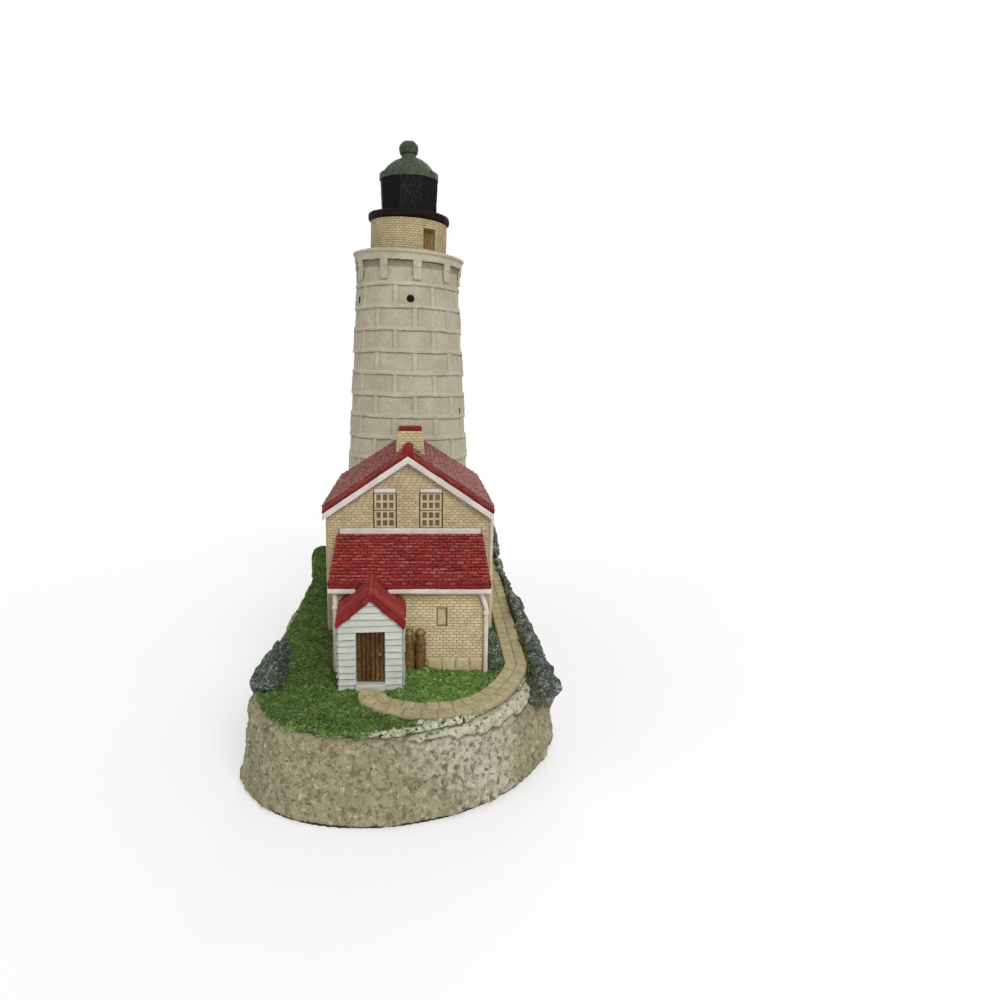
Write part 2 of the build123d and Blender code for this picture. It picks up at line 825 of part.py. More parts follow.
# White step under the door
with BuildPart() as porch_step:
    with Locations((door_x, porch_y, house_floor_z)):
        Box(
            step_width,
            step_depth,
            door_sill_z - house_floor_z,
            align=(Align.CENTER, Align.MAX, Align.MIN),
        )
    split(bisect_by=lawn_plane, keep=Keep.TOP)
finish(porch_step, "porch_step")

# Porch roof, running back over the lean-to's eave
porch_roof_half = porch_width / 2 + porch_roof_side
with BuildPart() as porch_roof:
    with BuildSketch(facing(house_y)):
        with Locations((porch_x, 0)):
            gable_section(porch_roof_half, porch_apex_z + porch_lift, porch_tan, porch_lift)
    extrude(amount=house_y - porch_y + porch_roof_front)
    with BuildSketch(Plane.YZ.offset(porch_x - porch_width)):
        Polygon(
            (leanto_y, house_floor_z),
            (house_y, house_floor_z),
            (house_y, leanto_top_z),
            (leanto_eave_y, leanto_under(leanto_eave_y) + leanto_lift),
            (leanto_eave_y, leanto_under(leanto_eave_y)),
            (leanto_y, leanto_under(leanto_y)),
            align=None,
        )
    extrude(amount=2 * porch_width, mode=Mode.SUBTRACT)
finish(porch_roof, "porch_roof")

# Gutters under the lean-to's eave, stopping at the porch roof
gutter_bottom_z = leanto_eave_z - gutter_height
porch_roof_reach = (porch_apex_z + porch_lift - gutter_bottom_z) / porch_tan
gutter_left_end = porch_x - porch_roof_reach - glue_gap
gutter_right_end = porch_x + porch_roof_reach + glue_gap
for name, start_x, end_x in (
    ("gutter_left", leanto_x - leanto_roof_width / 2, gutter_left_end),
    ("gutter_right", gutter_right_end, leanto_x + leanto_roof_width / 2),
):
    with BuildPart() as gutter:
        with BuildSketch(Plane.YZ.offset(start_x)):
            Polygon(
                (leanto_eave_y, leanto_eave_z),
                (leanto_eave_y, gutter_bottom_z),
                (leanto_eave_y + gutter_depth, gutter_bottom_z),
                (leanto_eave_y + gutter_depth, leanto_under(leanto_eave_y + gutter_depth)),
                align=None,
            )
        extrude(amount=end_x - start_x)
        lower = gutter.edges().filter_by(Axis.X).group_by(Axis.Z)[0]
        fillet(lower, radius=gutter_edge)
    finish(gutter, name)


def collar(x, y, z):
    """Bracket ring round a downspout."""
    with Locations((x, y, z)):
        Cylinder(pipe_radius + collar_proud, collar_height)


# Left downspout of the lean-to, straight down the wall
front_pipe_y = leanto_y - pipe_radius - collar_proud
left_pipe_x = leanto_x - leanto_width / 2 + left_pipe_inset
pipe_top_z = leanto_under(front_pipe_y)
collar_z = pipe_top_z - pipe_jog_top - pipe_jog_drop
with BuildPart() as downspout_left:
    with Locations((left_pipe_x, front_pipe_y, house_floor_z)):
        Cylinder(pipe_radius, pipe_top_z - house_floor_z, align=stand)
    collar(left_pipe_x, front_pipe_y, collar_z)
    split(bisect_by=lawn_plane, keep=Keep.TOP)
    add(leanto_roof.part, mode=Mode.SUBTRACT)
    with Locations((left_pipe_x, leanto_eave_y, gutter_bottom_z)):
        Box(4 * pipe_radius, 2 * gutter_depth, gutter_height + leanto_lift, align=stand, mode=Mode.SUBTRACT)
finish(downspout_left, "downspout_left")

# Right downspout, with a jog from the gutter out to the wall's corner
right_pipe_x = leanto_x + leanto_width / 2 - right_pipe_inset
jog_x = right_pipe_x - pipe_jog
jog_z = pipe_top_z - pipe_jog_top
with BuildPart() as downspout_right:
    with BuildLine() as route:
        FilletPolyline(
            (jog_x, front_pipe_y, pipe_top_z),
            (jog_x, front_pipe_y, jog_z),
            (right_pipe_x, front_pipe_y, jog_z - pipe_jog_drop),
            (right_pipe_x, front_pipe_y, house_floor_z),
            radius=pipe_bend,
        )
    with BuildSketch(Plane(origin=route.line @ 0, z_dir=route.line % 0)):
        Circle(pipe_radius)
    sweep()
    collar(right_pipe_x, front_pipe_y, collar_z - pipe_bend)
    split(bisect_by=lawn_plane, keep=Keep.TOP)
    add(leanto_roof.part, mode=Mode.SUBTRACT)
    with Locations((jog_x, leanto_eave_y, gutter_bottom_z)):
        Box(4 * pipe_radius, 2 * gutter_depth, gutter_height + leanto_lift, align=stand, mode=Mode.SUBTRACT)
finish(downspout_right, "downspout_right")

# Downspouts on the house's side walls, by the front corners
side_pipe_y = house_y + side_pipe_setback
side_pipe_x = house_width / 2 + pipe_radius + collar_proud
side_pipe_top = house_apex_z - roof_half_span * house_tan
for side, sign in (("left", -1), ("right", 1)):
    with BuildPart() as side_downspout:
        with Locations((sign * side_pipe_x, side_pipe_y, house_floor_z)):
            Cylinder(pipe_radius, side_pipe_top - house_floor_z, align=stand)
        collar(sign * side_pipe_x, side_pipe_y, side_pipe_top - pipe_jog_drop)
        split(bisect_by=lawn_plane, keep=Keep.TOP)
        add(house_roof.part, mode=Mode.SUBTRACT)
    finish(side_downspout, f"side_downspout_{side}")

# Two bollards with necked heads, side by side between the porch and the wall
bollard_y = leanto_y - bollard_radius - glue_gap
bollard_left_x = porch_x + porch_width / 2 + bollard_radius + glue_gap
bollard_right_x = bollard_left_x + 2 * bollard_radius + glue_gap
bollard_foot_z = lawn_z(bollard_y)
for side, x in (("left", bollard_left_x), ("right", bollard_right_x)):
    bollard_axis = Axis((x, bollard_y, 0), (0, 0, 1))
    with BuildPart() as bollard:
        with BuildSketch(Plane(origin=(x, bollard_y, bollard_foot_z), x_dir=(1, 0, 0), z_dir=(0, -1, 0))):
            Polygon(
                (0, -lawn_thickness),
                (bollard_radius, -lawn_thickness),
                (bollard_radius, bollard_shoulder),
                (bollard_neck_radius, bollard_neck),
                (bollard_head_radius, (bollard_neck + bollard_height) / 2),
                (bollard_neck_radius / 2, bollard_height),
                (0, bollard_height),
                align=None,
            )
        revolve(axis=bollard_axis)
        split(bisect_by=lawn_plane, keep=Keep.TOP)
    finish(bollard, f"bollard_{side}")

# Larger stones along the foot of the lean-to's wall, from the bollards to the downspout
stone_start_x = bollard_right_x + bollard_radius + stone_joint
stone_end_x = right_pipe_x - pipe_radius - glue_gap
stone_width = (stone_end_x - stone_start_x + stone_joint) / stone_count - stone_joint
stone_middle_x = (stone_start_x + stone_end_x) / 2
with BuildPart() as foundation_stones:
    with Locations((stone_middle_x, leanto_y, lawn_z(leanto_y) - lawn_thickness / 2)):
        with GridLocations(stone_width + stone_joint, 0, stone_count, 1):
            Box(
                stone_width,
                stone_proud,
                stone_height + lawn_thickness / 2,
                align=(Align.CENTER, Align.MAX, Align.MIN),
            )
    split(bisect_by=lawn_plane, keep=Keep.TOP)
finish(foundation_stones, "foundation_stones")

# Shrub heaped against the lean-to's right wall, highest at the wall
shrub_x = leanto_x + leanto_width / 2 + shrub_radius + shrub_gap
shrub_y = leanto_y + shrub_radius + shrub_gap
with BuildPart() as corner_shrub:
    for clump in range(shrub_clumps):
        rise = clump / (shrub_clumps - 1)
        radius = shrub_radius * (1 - rise / 4)
        clump_x = shrub_x - (shrub_radius - radius)
        clump_y = shrub_y + rise * shrub_radius
        clump_z = lawn_z(clump_y) + rise * (shrub_height - radius)
        with Locations((clump_x, clump_y, clump_z)):
            Sphere(radius)
    split(bisect_by=lawn_plane, keep=Keep.TOP)
finish(corner_shrub, "corner_shrub")

# Knuckles of a boulder's outline, as shares of its half length and half width
knuckles = (1.0, 0.86, 1.05, 0.9, 1.0, 0.82, 0.95)
boulder_levels = ((0.0, 0.94), (0.55, 1.0), (0.86, 0.74), (1.0, 0.4))


def boulder(x, y, foot_z, length, width, height, turn):
    """Faceted stone with its foot at foot_z, turned about the upright."""
    with BuildPart() as stone:
        for share, spread in boulder_levels:
            middle = Plane(
                origin=(x, y, foot_z + share * height),
                x_dir=(cos(radians(turn)), sin(radians(turn)), 0),
            )
            with BuildSketch(middle):
                corners = []
                for number, reach in enumerate(knuckles):
                    angle = radians(number * 360 / len(knuckles))
                    along = length / 2 * spread * reach * cos(angle)
                    across = width / 2 * spread * reach * sin(angle)
                    corners.append((along, across))
                Polygon(*corners, align=None)
        loft(ruled=True)
    return stone.part


# Room that the footpath keeps clear of stones, down to the bottom of its groove
with BuildPart() as path_room:
    extrude(footpath_outline(path_width + 2 * glue_gap), amount=boulder_root)
    extrude(footpath_outline(path_width + 2 * glue_gap), amount=-path_thickness)

# Rows of boulders along the headland's edge, by the front left, the right side and the tower.
# Each row has its side, its two ends, and its stones' width, height and distance in from the edge.
back_rocks_y = house_back_y + back_rocks_start
boulder_rows = {
    "left_boulders": (
        -1, front_y + left_rocks_start, left_rocks_run,
        left_rock_width, left_rock_height, left_rock_inset),
    "right_boulders": (
        1, front_y + right_rocks_start, house_back_y - front_y - right_rocks_start,
        right_rock_width, right_rock_height, right_rock_inset),
    "back_boulders": (
        1, back_rocks_y, back_rocks_run,
        back_rock_width, back_rock_height, back_rock_inset),
}
# Turn of each stone about the upright, and its share of the row's height and width
boulder_turns = (98, 84, 92, 88, 95)
boulder_heights = (1.15, 0.9, 1.0, 0.94, 1.05)
boulder_widths = (1.2, 1.0, 0.94, 1.0, 0.96)
for name, (side, start_y, run, width, height, inset) in boulder_rows.items():
    steps = max(1, round(run / boulder_pitch))
    step = run / steps
    pieces = []
    for number in range(steps + 1):
        variety = number % len(boulder_turns)
        y = start_y + number * step
        pieces.append(boulder(
            side * (shore(y) - inset),
            y,
            lawn_z(y) - boulder_root,
            step + boulder_overlap,
            width * boulder_widths[variety],
            height * boulder_heights[variety],
            boulder_turns[variety],
        ))
    with BuildPart() as cluster:
        add(pieces)
        add(cliff_base.part, mode=Mode.SUBTRACT)
        add(lawn.part, mode=Mode.SUBTRACT)
        add(path_room.part, mode=Mode.SUBTRACT)
        add(tower_shaft.part, mode=Mode.SUBTRACT)
    finish(cluster, name)
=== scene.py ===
# %% [markdown]
# # A painted lighthouse on its headland
# The ornament is a small resin casting, painted by hand: a white tower, a brick house with red
# roofs, and a rocky headland with a lawn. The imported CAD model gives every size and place, in
# metres. This lesson dresses it, piece by piece, and every piece rides on the one rigid body.

# %% Load the frame
import math

import bmesh
import bpy
import numpy as np
from mathutils import Matrix, Vector


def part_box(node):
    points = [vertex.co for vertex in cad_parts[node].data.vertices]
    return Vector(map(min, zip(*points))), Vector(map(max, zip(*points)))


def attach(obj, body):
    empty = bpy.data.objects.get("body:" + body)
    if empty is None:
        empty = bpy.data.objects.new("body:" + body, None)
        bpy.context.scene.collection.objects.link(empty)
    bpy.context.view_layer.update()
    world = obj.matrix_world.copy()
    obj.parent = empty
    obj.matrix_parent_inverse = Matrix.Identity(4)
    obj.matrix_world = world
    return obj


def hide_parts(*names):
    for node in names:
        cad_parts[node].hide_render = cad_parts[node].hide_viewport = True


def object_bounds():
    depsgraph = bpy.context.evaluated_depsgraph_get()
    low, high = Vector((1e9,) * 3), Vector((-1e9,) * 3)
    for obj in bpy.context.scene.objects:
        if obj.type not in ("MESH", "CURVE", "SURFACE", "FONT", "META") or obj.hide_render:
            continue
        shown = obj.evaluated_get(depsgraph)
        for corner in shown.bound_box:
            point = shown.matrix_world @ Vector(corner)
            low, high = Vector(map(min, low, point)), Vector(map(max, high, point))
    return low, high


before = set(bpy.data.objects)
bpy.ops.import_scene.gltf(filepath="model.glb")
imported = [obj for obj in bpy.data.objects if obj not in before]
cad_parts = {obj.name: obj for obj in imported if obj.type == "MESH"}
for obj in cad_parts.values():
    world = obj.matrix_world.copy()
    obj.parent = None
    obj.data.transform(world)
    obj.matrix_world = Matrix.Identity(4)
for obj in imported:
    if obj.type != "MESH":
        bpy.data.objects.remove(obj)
cad_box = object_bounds()
MM = 0.001


def room(node):
    """Lowest and highest corner of a CAD node, in millimetres."""
    return [np.array(corner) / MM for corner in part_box(node)]


print("CAD box in mm:", [[round(value / MM, 2) for value in corner] for corner in cad_box])

# %% [markdown]
# ## Unevenness
# Nothing on a hand-finished casting is quite even. Blender has noise textures for materials, but
# here the points of a mesh need the same kind of unevenness. A lattice noise written with NumPy
# moves many thousand points at once, and it gives the same values at each run.


# %% Noise for points
def lattice_values(cells, seed):
    """One fixed value from -1 to 1 for each corner of a whole-number lattice."""
    key = np.full(len(cells), seed * 7919 + 97, np.uint64)
    for axis, prime in enumerate((73856093, 19349663, 83492791)):
        key ^= cells[:, axis].astype(np.uint64) * np.uint64(prime)
    for shift in (13, 29, 17):
        key = (key ^ (key >> np.uint64(shift))) * np.uint64(0x9E3779B97F4A7C15)
    return (key >> np.uint64(40)).astype(float) / 2 ** 23 - 1


def lumps(points, grain, seed=0, octaves=3):
    """Noise from about -1 to 1 at the points, in lumps of the given size in millimetres."""
    total = np.zeros(len(points))
    for octave in range(octaves):
        spot = points * (2 ** octave / grain) + 37.3 * (octave + 1)
        corner = np.floor(spot)
        share = spot - corner
        share = share * share * (3 - 2 * share)
        for step in np.ndindex(2, 2, 2):
            weight = np.prod(np.abs(1 - np.array(step) - share), axis=1)
            total += weight * lattice_values(corner.astype(np.int64) + step, seed + octave) / 2 ** octave
    return total


sample = lumps(np.random.default_rng(1).uniform(0, 50, (2000, 3)), 3.0)
print("noise spread:", round(float(sample.min()), 2), "to", round(float(sample.max()), 2))

# %% [markdown]
# ## Gathering a piece
# A piece is often many small shapes, such as the bricks of a wall. One Blender object per brick
# would be slow and untidy, so the shapes are gathered first and become one mesh. Each point
# carries four paint masks: high places for the dry brush, low places for the dark wash, the tone,
# and how far a second colour covers the first. On some pieces the low mask also carries painted
# shade and the high mask a painted highlight.


# %% Clay that becomes a piece
class Clay:
    """Points, faces and paint masks gathered for one piece, in millimetres."""

    def __init__(self):
        self.points, self.faces, self.coats, self.soft = [], [], [], []
        self.masks = {"high": [], "low": [], "tone": [], "second": []}
        self.count = 0

    def add(self, points, faces, coat=0, soft=True, **masks):
        for mask, values in self.masks.items():
            values.append(np.broadcast_to(masks.get(mask, 0.0), len(points)))
        self.points.append(np.asarray(points, float))
        self.faces += (np.asarray(faces) + self.count).tolist()
        self.coats += [coat] * len(faces)
        self.soft += [soft] * len(faces)
        self.count += len(points)

    def fire(self, name, slot, coats, *nodes):
        mesh = bpy.data.meshes.new(name)
        mesh.from_pydata((np.concatenate(self.points) * MM).tolist(), [], self.faces)
        for coat in coats:
            mesh.materials.append(coat)
        mesh.polygons.foreach_set("material_index", self.coats)
        mesh.polygons.foreach_set("use_smooth", self.soft)
        for mask, values in self.masks.items():
            layer = mesh.attributes.new(mask, "FLOAT", "POINT")
            layer.data.foreach_set("value", np.concatenate(values).astype(np.float32))
        mesh.update()
        piece = bpy.data.objects.new(name, mesh)
        bpy.context.scene.collection.objects.link(piece)
        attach(piece, "root")
        if nodes:
            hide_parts(*nodes)
        print(f"{name}: {len(mesh.polygons)} faces")
        return piece


# %% [markdown]
# ## Paint
# The real piece has a flat body colour, a dark wash that stays in the hollows, and a pale dry
# brush that catches the high places. A layered material does the same: blotches of two close
# colours, then the wash and the brush by the masks, with fine grain for roughness and bump. On
# some pieces the wash colour also paints shade, and on the lamp room the brush colour paints a
# highlight.


# %% Layered paint
def shade(red, green, blue):
    """A colour from 0 to 255, as the linear values that a shader takes."""
    values = np.array((red, green, blue)) / 255
    linear = np.where(values <= 0.04045, values / 12.92, ((values + 0.055) / 1.055) ** 2.4)
    return (*linear.tolist(), 1.0)


def add_node(tree, kind, inputs, **settings):
    """A shader node with its settings, and its inputs linked or set."""
    made = tree.nodes.new("ShaderNode" + kind)
    for key, value in settings.items():
        setattr(made, key, value)
    for key, value in inputs.items():
        if isinstance(value, bpy.types.NodeSocket):
            tree.links.new(value, made.inputs[key])
        else:
            made.inputs[key].default_value = value
    return made


def over(tree, factor, below, above):
    """The colour above laid over the colour below, as far as the factor says."""
    return add_node(tree, "MixRGB", {"Fac": factor, "Color1": below, "Color2": above}).outputs["Color"]


def reckon(tree, operation, *values):
    """The outcome of a sum with up to three values."""
    return add_node(tree, "Math", dict(enumerate(values)), operation=operation).outputs[0]


def spread(tree, value, low, high, start=0.0, end=1.0):
    """A value mapped from the range low to high onto start to end."""
    return add_node(tree, "MapRange", {
        "Value": value, "From Min": low, "From Max": high, "To Min": start, "To Max": end}).outputs[0]


def paint(name, body, blotch, wash_and_shade, brush_and_highlight, blotch_size=4.0, grain=0.3, roughness=0.72, relief=0.35,
          specks=(), shine=0.3, second=None):
    """Paint in layers: body and blotch, second colour, specks, tone, wash and brush."""
    material = bpy.data.materials.new(name)
    material.use_nodes = True
    tree = material.node_tree
    shader = tree.nodes["Principled BSDF"]
    shader.inputs["Specular IOR Level"].default_value = shine
    spot = add_node(tree, "TexCoord", {}).outputs["Object"]
    cloud = add_node(tree, "TexNoise", {"Vector": spot, "Scale": 1 / (blotch_size * MM), "Detail": 5.0})
    fine = add_node(tree, "TexNoise", {
        "Vector": spot, "Scale": 1 / (grain * MM), "Detail": 5.0, "Roughness": 0.6}).outputs["Fac"]
    colour = over(tree, spread(tree, cloud.outputs["Fac"], 0.38, 0.64), shade(*body), shade(*blotch))
    masks = {
        mask: add_node(tree, "Attribute", {}, attribute_name=mask).outputs["Fac"]
        for mask in ("high", "low", "tone", "second")}
    if second:
        dabs = add_node(tree, "TexNoise", {
            "Vector": spot, "Scale": 2.5 / (blotch_size * MM), "Detail": 5.0}).outputs["Fac"]
        sponge = reckon(tree, "MULTIPLY_ADD", dabs, 2.0, -1.0)
        cover = reckon(tree, "ADD", masks["second"], sponge)
        colour = over(tree, spread(tree, cover, 0.2, 0.8), colour, shade(*second))
    for number, (speck, size, least, soft) in enumerate(specks):
        dots = add_node(tree, "TexNoise", {
            "Vector": spot, "Scale": 1 / (size * MM), "Detail": 4.0, "Distortion": 0.4 + 0.3 * number})
        colour = over(tree, spread(tree, dots.outputs["Fac"], least, least + soft), colour, shade(*speck))
    value = reckon(tree, "ADD", masks["tone"], 1.0)
    colour = add_node(tree, "HueSaturation", {"Value": value, "Color": colour}).outputs["Color"]
    # The wash colour over the low mask; on some pieces it also paints shade.
    colour = over(tree, spread(tree, masks["low"], 0.0, 1.0), colour, shade(*wash_and_shade))
    # The dry brush colour over the high mask; on the lamp room's front facet it paints a highlight.
    broken = reckon(tree, "MULTIPLY_ADD", fine, 1.6, -0.8)
    caught = reckon(tree, "ADD", masks["high"], broken)
    colour = over(tree, spread(tree, caught, 0.25, 0.85), colour, shade(*brush_and_highlight))
    tree.links.new(colour, shader.inputs["Base Color"])
    rough = spread(tree, fine, 0.3, 0.7, roughness - 0.1, roughness + 0.12)
    tree.links.new(rough, shader.inputs["Roughness"])
    bump = add_node(tree, "Bump", {"Height": fine, "Strength": relief, "Distance": grain * MM})
    tree.links.new(bump.outputs["Normal"], shader.inputs["Normal"])
    return material


print("mid grey for a shader:", [round(value, 3) for value in shade(128, 128, 128)])

# %% [markdown]
# The colours are muted and warm, as acrylic paint over grey resin is. Each set gives the body, its
# blotches, the wash and the dry brush. The stone, the turf and the lamp room also have specks,
# dabbed on with a stiff brush on the real piece.

# %% Paints of the ornament
tower_cream = paint(
    "tower_cream", (176, 169, 147), (163, 156, 133), (92, 84, 62), (200, 194, 176), 5.0, 0.3, 0.75, 0.6,
    specks=(((146, 138, 114), 0.7, 0.60, 0.12), ((192, 187, 170), 0.6, 0.60, 0.12)))
watch_cream = paint("watch_cream", (178, 163, 128), (164, 149, 114), (118, 102, 70), (196, 183, 150), 2.5)
watch_mortar = paint("watch_mortar", (140, 124, 90), (128, 112, 80), (92, 79, 52), (164, 148, 114), 2.0)
mortar_tan = paint("mortar_tan", (156, 140, 102), (144, 128, 92), (110, 95, 63), (176, 162, 126), 3.0)
brick_cream = paint("brick_cream", (200, 184, 147), (187, 170, 132), (154, 137, 99), (218, 205, 174), 2.5)
stone_cream = paint("stone_cream", (192, 176, 137), (178, 162, 123), (112, 98, 66), (212, 200, 168), 2.0)
roof_red = paint(
    "roof_red", (145, 47, 43), (128, 38, 35), (74, 19, 18), (180, 112, 106), 5.0, 0.3, shine=0.2)
dusty_red = paint(
    "dusty_red", (124, 56, 52), (108, 46, 43), (66, 21, 19), (160, 118, 114), 4.0, 0.35, shine=0.2)
edge_red = paint("edge_red", (128, 35, 29), (104, 25, 22), (56, 12, 11), (162, 82, 74), 2.2, shine=0.15)
trim_white = paint("trim_white", (204, 198, 191), (190, 183, 175), (118, 107, 92), (222, 217, 211), 3.0)
board_white = paint("board_white", (186, 188, 179), (174, 176, 166), (98, 103, 90), (208, 210, 203), 3.0)
sash_cream = paint("sash_cream", (190, 177, 145), (174, 161, 129), (106, 94, 65), (206, 195, 166), 1.5)
plank_brown = paint(
    "plank_brown", (80, 56, 28), (57, 37, 17), (27, 17, 7), (150, 120, 74), 1.0, 0.25, shine=0.15)
post_brown = paint(
    "post_brown", (120, 94, 55), (86, 63, 35), (38, 25, 12), (168, 142, 98), 0.7, 0.25, shine=0.15)
niche_door = paint("niche_door", (126, 97, 56), (106, 79, 44), (52, 38, 20), (158, 131, 88), 0.8, 0.2)
lamp_black = paint(
    "lamp_black", (8, 9, 8), (13, 14, 13), (4, 4, 4), (58, 60, 61), 2.0, 0.16, 0.6, 0.4, shine=0.08)
deck_black = paint(
    "deck_black", (15, 13, 11), (22, 19, 16), (7, 6, 5), (60, 50, 40), 2.0, 0.25, 0.65, shine=0.08)
dome_green = paint(
    "dome_green", (66, 76, 58), (47, 54, 43), (25, 29, 23), (124, 132, 116), 1.6, 0.22, 0.55,
    specks=(((80, 94, 70), 0.8, 0.58, 0.14), ((30, 35, 27), 0.6, 0.58, 0.12)), shine=0.2)
turf_green = paint(
    "turf_green", (77, 104, 47), (60, 84, 34), (32, 48, 17), (124, 146, 88), 3.0, 0.35, 0.88, 0.9,
    specks=(
        ((102, 120, 56), 1.5, 0.56, 0.10), ((38, 57, 20), 0.6, 0.53, 0.08),
        ((122, 142, 84), 0.5, 0.57, 0.08)),
    second=(186, 183, 162), shine=0.12)
ledge_chalk = paint(
    "ledge_chalk", (190, 188, 168), (168, 167, 143), (92, 92, 62), (208, 206, 190), 2.0, 0.35, 0.85, 0.6,
    specks=(((90, 108, 62), 0.9, 0.55, 0.10), ((150, 146, 118), 0.8, 0.56, 0.14)))
paver_tan = paint(
    "paver_tan", (174, 164, 127), (158, 148, 110), (98, 94, 62), (194, 186, 155), 1.6, 0.3, 0.8, 0.5,
    specks=(((140, 130, 92), 0.6, 0.58, 0.12),))
rock_grey = paint(
    "rock_grey", (66, 72, 65), (52, 58, 51), (30, 34, 28), (168, 173, 169), 2.4, 0.3, 0.8, 0.7,
    specks=(((120, 126, 121), 0.5, 0.51, 0.10), ((34, 39, 33), 0.45, 0.54, 0.08)), second=(80, 86, 52))
cliff_tan = paint(
    "cliff_tan", (158, 151, 122), (141, 134, 105), (86, 77, 55), (186, 180, 160), 3.0, 0.35, 0.85, 0.9,
    specks=(
        ((118, 108, 82), 1.3, 0.52, 0.15), ((100, 90, 66), 0.8, 0.55, 0.12),
        ((182, 176, 153), 0.9, 0.57, 0.12)),
    second=(185, 179, 162))
shrub_green = paint(
    "shrub_green", (78, 90, 62), (54, 64, 42), (26, 34, 20), (190, 196, 188), 0.9, 0.3, 0.85, 0.6,
    specks=(((156, 163, 154), 0.3, 0.57, 0.08),))
pane_olive = paint("pane_olive", (112, 102, 73), (96, 87, 60), (54, 48, 32), (132, 122, 92), 1.5, 0.3, 0.5)
felt_dark = paint("felt_dark", (56, 58, 52), (44, 46, 42), (24, 25, 23), (78, 80, 74), 2.0, 0.12, 0.95, 0.9)
knob_brass = paint("knob_brass", (120, 92, 50), (100, 76, 38), (52, 38, 18), (170, 142, 92), 0.6, 0.2, 0.4)
print("paints mixed:", len(bpy.data.materials))

# %% [markdown]
# ## Softening the CAD forms
# The CAD solids have knife-sharp edges, and a casting has none. Each solid could be bevelled edge
# by edge, but a voxel remesh rounds every edge at once and gives an even net of points. These can
# then be smoothed, made uneven, and measured for the paint: a point that stands out from its
# neighbours catches the brush, and one that lies deeper keeps the wash.


# %% Recasting a CAD node
def neighbour_mean(values, edges, count):
    """Mean of each point's neighbours along the edges."""
    ends = np.concatenate((edges[:, 0], edges[:, 1]))
    others = np.concatenate((edges[:, 1], edges[:, 0]))
    share = np.maximum(np.bincount(ends, minlength=count), 1)
    if values.ndim == 1:
        return np.bincount(ends, values[others], count) / share
    return np.stack([np.bincount(ends, column[others], count) / share for column in values.T], 1)


def voxel_cast(node, voxel):
    """The CAD node as an even net of quads, in millimetres, with its edges."""
    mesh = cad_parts[node].data.copy()
    weld = bmesh.new()
    weld.from_mesh(mesh)
    bmesh.ops.remove_doubles(weld, verts=weld.verts, dist=0.001 * MM)
    weld.transform(Matrix.Scale(1 / MM, 4))
    weld.to_mesh(mesh)
    weld.free()
    blank = bpy.data.objects.new(node + "_blank", mesh)
    bpy.context.scene.collection.objects.link(blank)
    remesh = blank.modifiers.new("voxels", "REMESH")
    remesh.mode = "VOXEL"
    remesh.voxel_size = voxel
    shaped = bpy.data.meshes.new_from_object(blank.evaluated_get(bpy.context.evaluated_depsgraph_get()))
    bpy.data.objects.remove(blank)
    points = np.array([vertex.co for vertex in shaped.vertices])
    edges = np.array([edge.vertices[:] for edge in shaped.edges])
    faces = np.array([face.vertices[:] for face in shaped.polygons])
    return points, edges, faces


def point_normals(points, faces):
    """Unit normals of the points of a net of quads."""
    across = np.cross(points[faces[:, 2]] - points[faces[:, 0]], points[faces[:, 3]] - points[faces[:, 1]])
    normals = np.zeros_like(points)
    for corner in range(4):
        for axis in range(3):
            normals[:, axis] += np.bincount(faces[:, corner], across[:, axis], len(points))
    return normals / np.maximum(np.linalg.norm(normals, axis=1, keepdims=True), 1e-9)


def curvature_masks(points, edges, faces, voxel, contrast=3.0):
    """Masks of the places that stand out and the places that lie deep, from 0 to 1."""
    normals = point_normals(points, faces)
    depth = ((neighbour_mean(points, edges, len(points)) - points) * normals).sum(1) / voxel
    for _ in range(2):
        depth = 0.5 * depth + 0.5 * neighbour_mean(depth, edges, len(points))
    return {"high": np.clip(-contrast * depth - 0.1, 0, 1), "low": np.clip(contrast * depth - 0.1, 0, 1)}


def softened(node, voxel, rounds):
    """Points, edges, faces and normals of a CAD node's net after rounds of smoothing."""
    points, edges, faces = voxel_cast(node, voxel)
    for _ in range(rounds):
        points = 0.5 * points + 0.5 * neighbour_mean(points, edges, len(points))
    return points, edges, faces, point_normals(points, faces)


def recast(node, voxel, rounds=2, uneven=((5.0, 0.06),), contrast=3.0, bend=None, **masks):
    """Clay in the form of a CAD node, softened by rounds of smoothing and made uneven."""
    points, edges, faces, normals = softened(node, voxel, rounds)
    for seed, (grain, amount) in enumerate(uneven):
        points = points + normals * (amount * lumps(points, grain, seed + 11))[:, None]
    found = curvature_masks(points, edges, faces, voxel, contrast)
    if bend is not None:
        points = bend(points)
    clay = Clay()
    clay.add(points, faces, **{**found, **masks})
    return clay


# %% [markdown]
# ## Camera
# The picture is taken from a hand's height, a little above the lawn and far below the lamp room,
# so the gallery is seen from below and the lawn from above. The lens is a wide one at a short
# distance. The shift puts the object left of the middle, as it stands in the picture. The floor
# fades to white away from the object, so that it has no edge and no horizon.

# %% Camera
camera_data = bpy.data.cameras.new("camera")
camera_data.sensor_width = 36.0
camera_data.lens = 25.92
camera_data.shift_x = 0.085
camera_data.shift_y = -0.01
camera = bpy.data.objects.new("camera", camera_data)
camera.location = (1.5 * MM, -173.74 * MM, 75.0 * MM)
camera.rotation_euler = (math.radians(90 - 9.307), 0, 0)
bpy.context.scene.collection.objects.link(camera)
bpy.context.scene.camera = camera
camera_data.clip_start = 0.01
bpy.context.scene.view_settings.view_transform = "Standard"

print("camera at", [round(value / MM, 1) for value in camera.location], "mm")

# %% Pale floor
floor_half = 3
floor_corners = [(-floor_half, -floor_half, 0), (floor_half, -floor_half, 0)]
floor_corners += [(floor_half, floor_half, 0), (-floor_half, floor_half, 0)]
floor_mesh = bpy.data.meshes.new("floor")
floor_mesh.from_pydata(floor_corners, [], [(0, 1, 2, 3)])
floor = bpy.data.objects.new("floor", floor_mesh)
bpy.context.scene.collection.objects.link(floor)


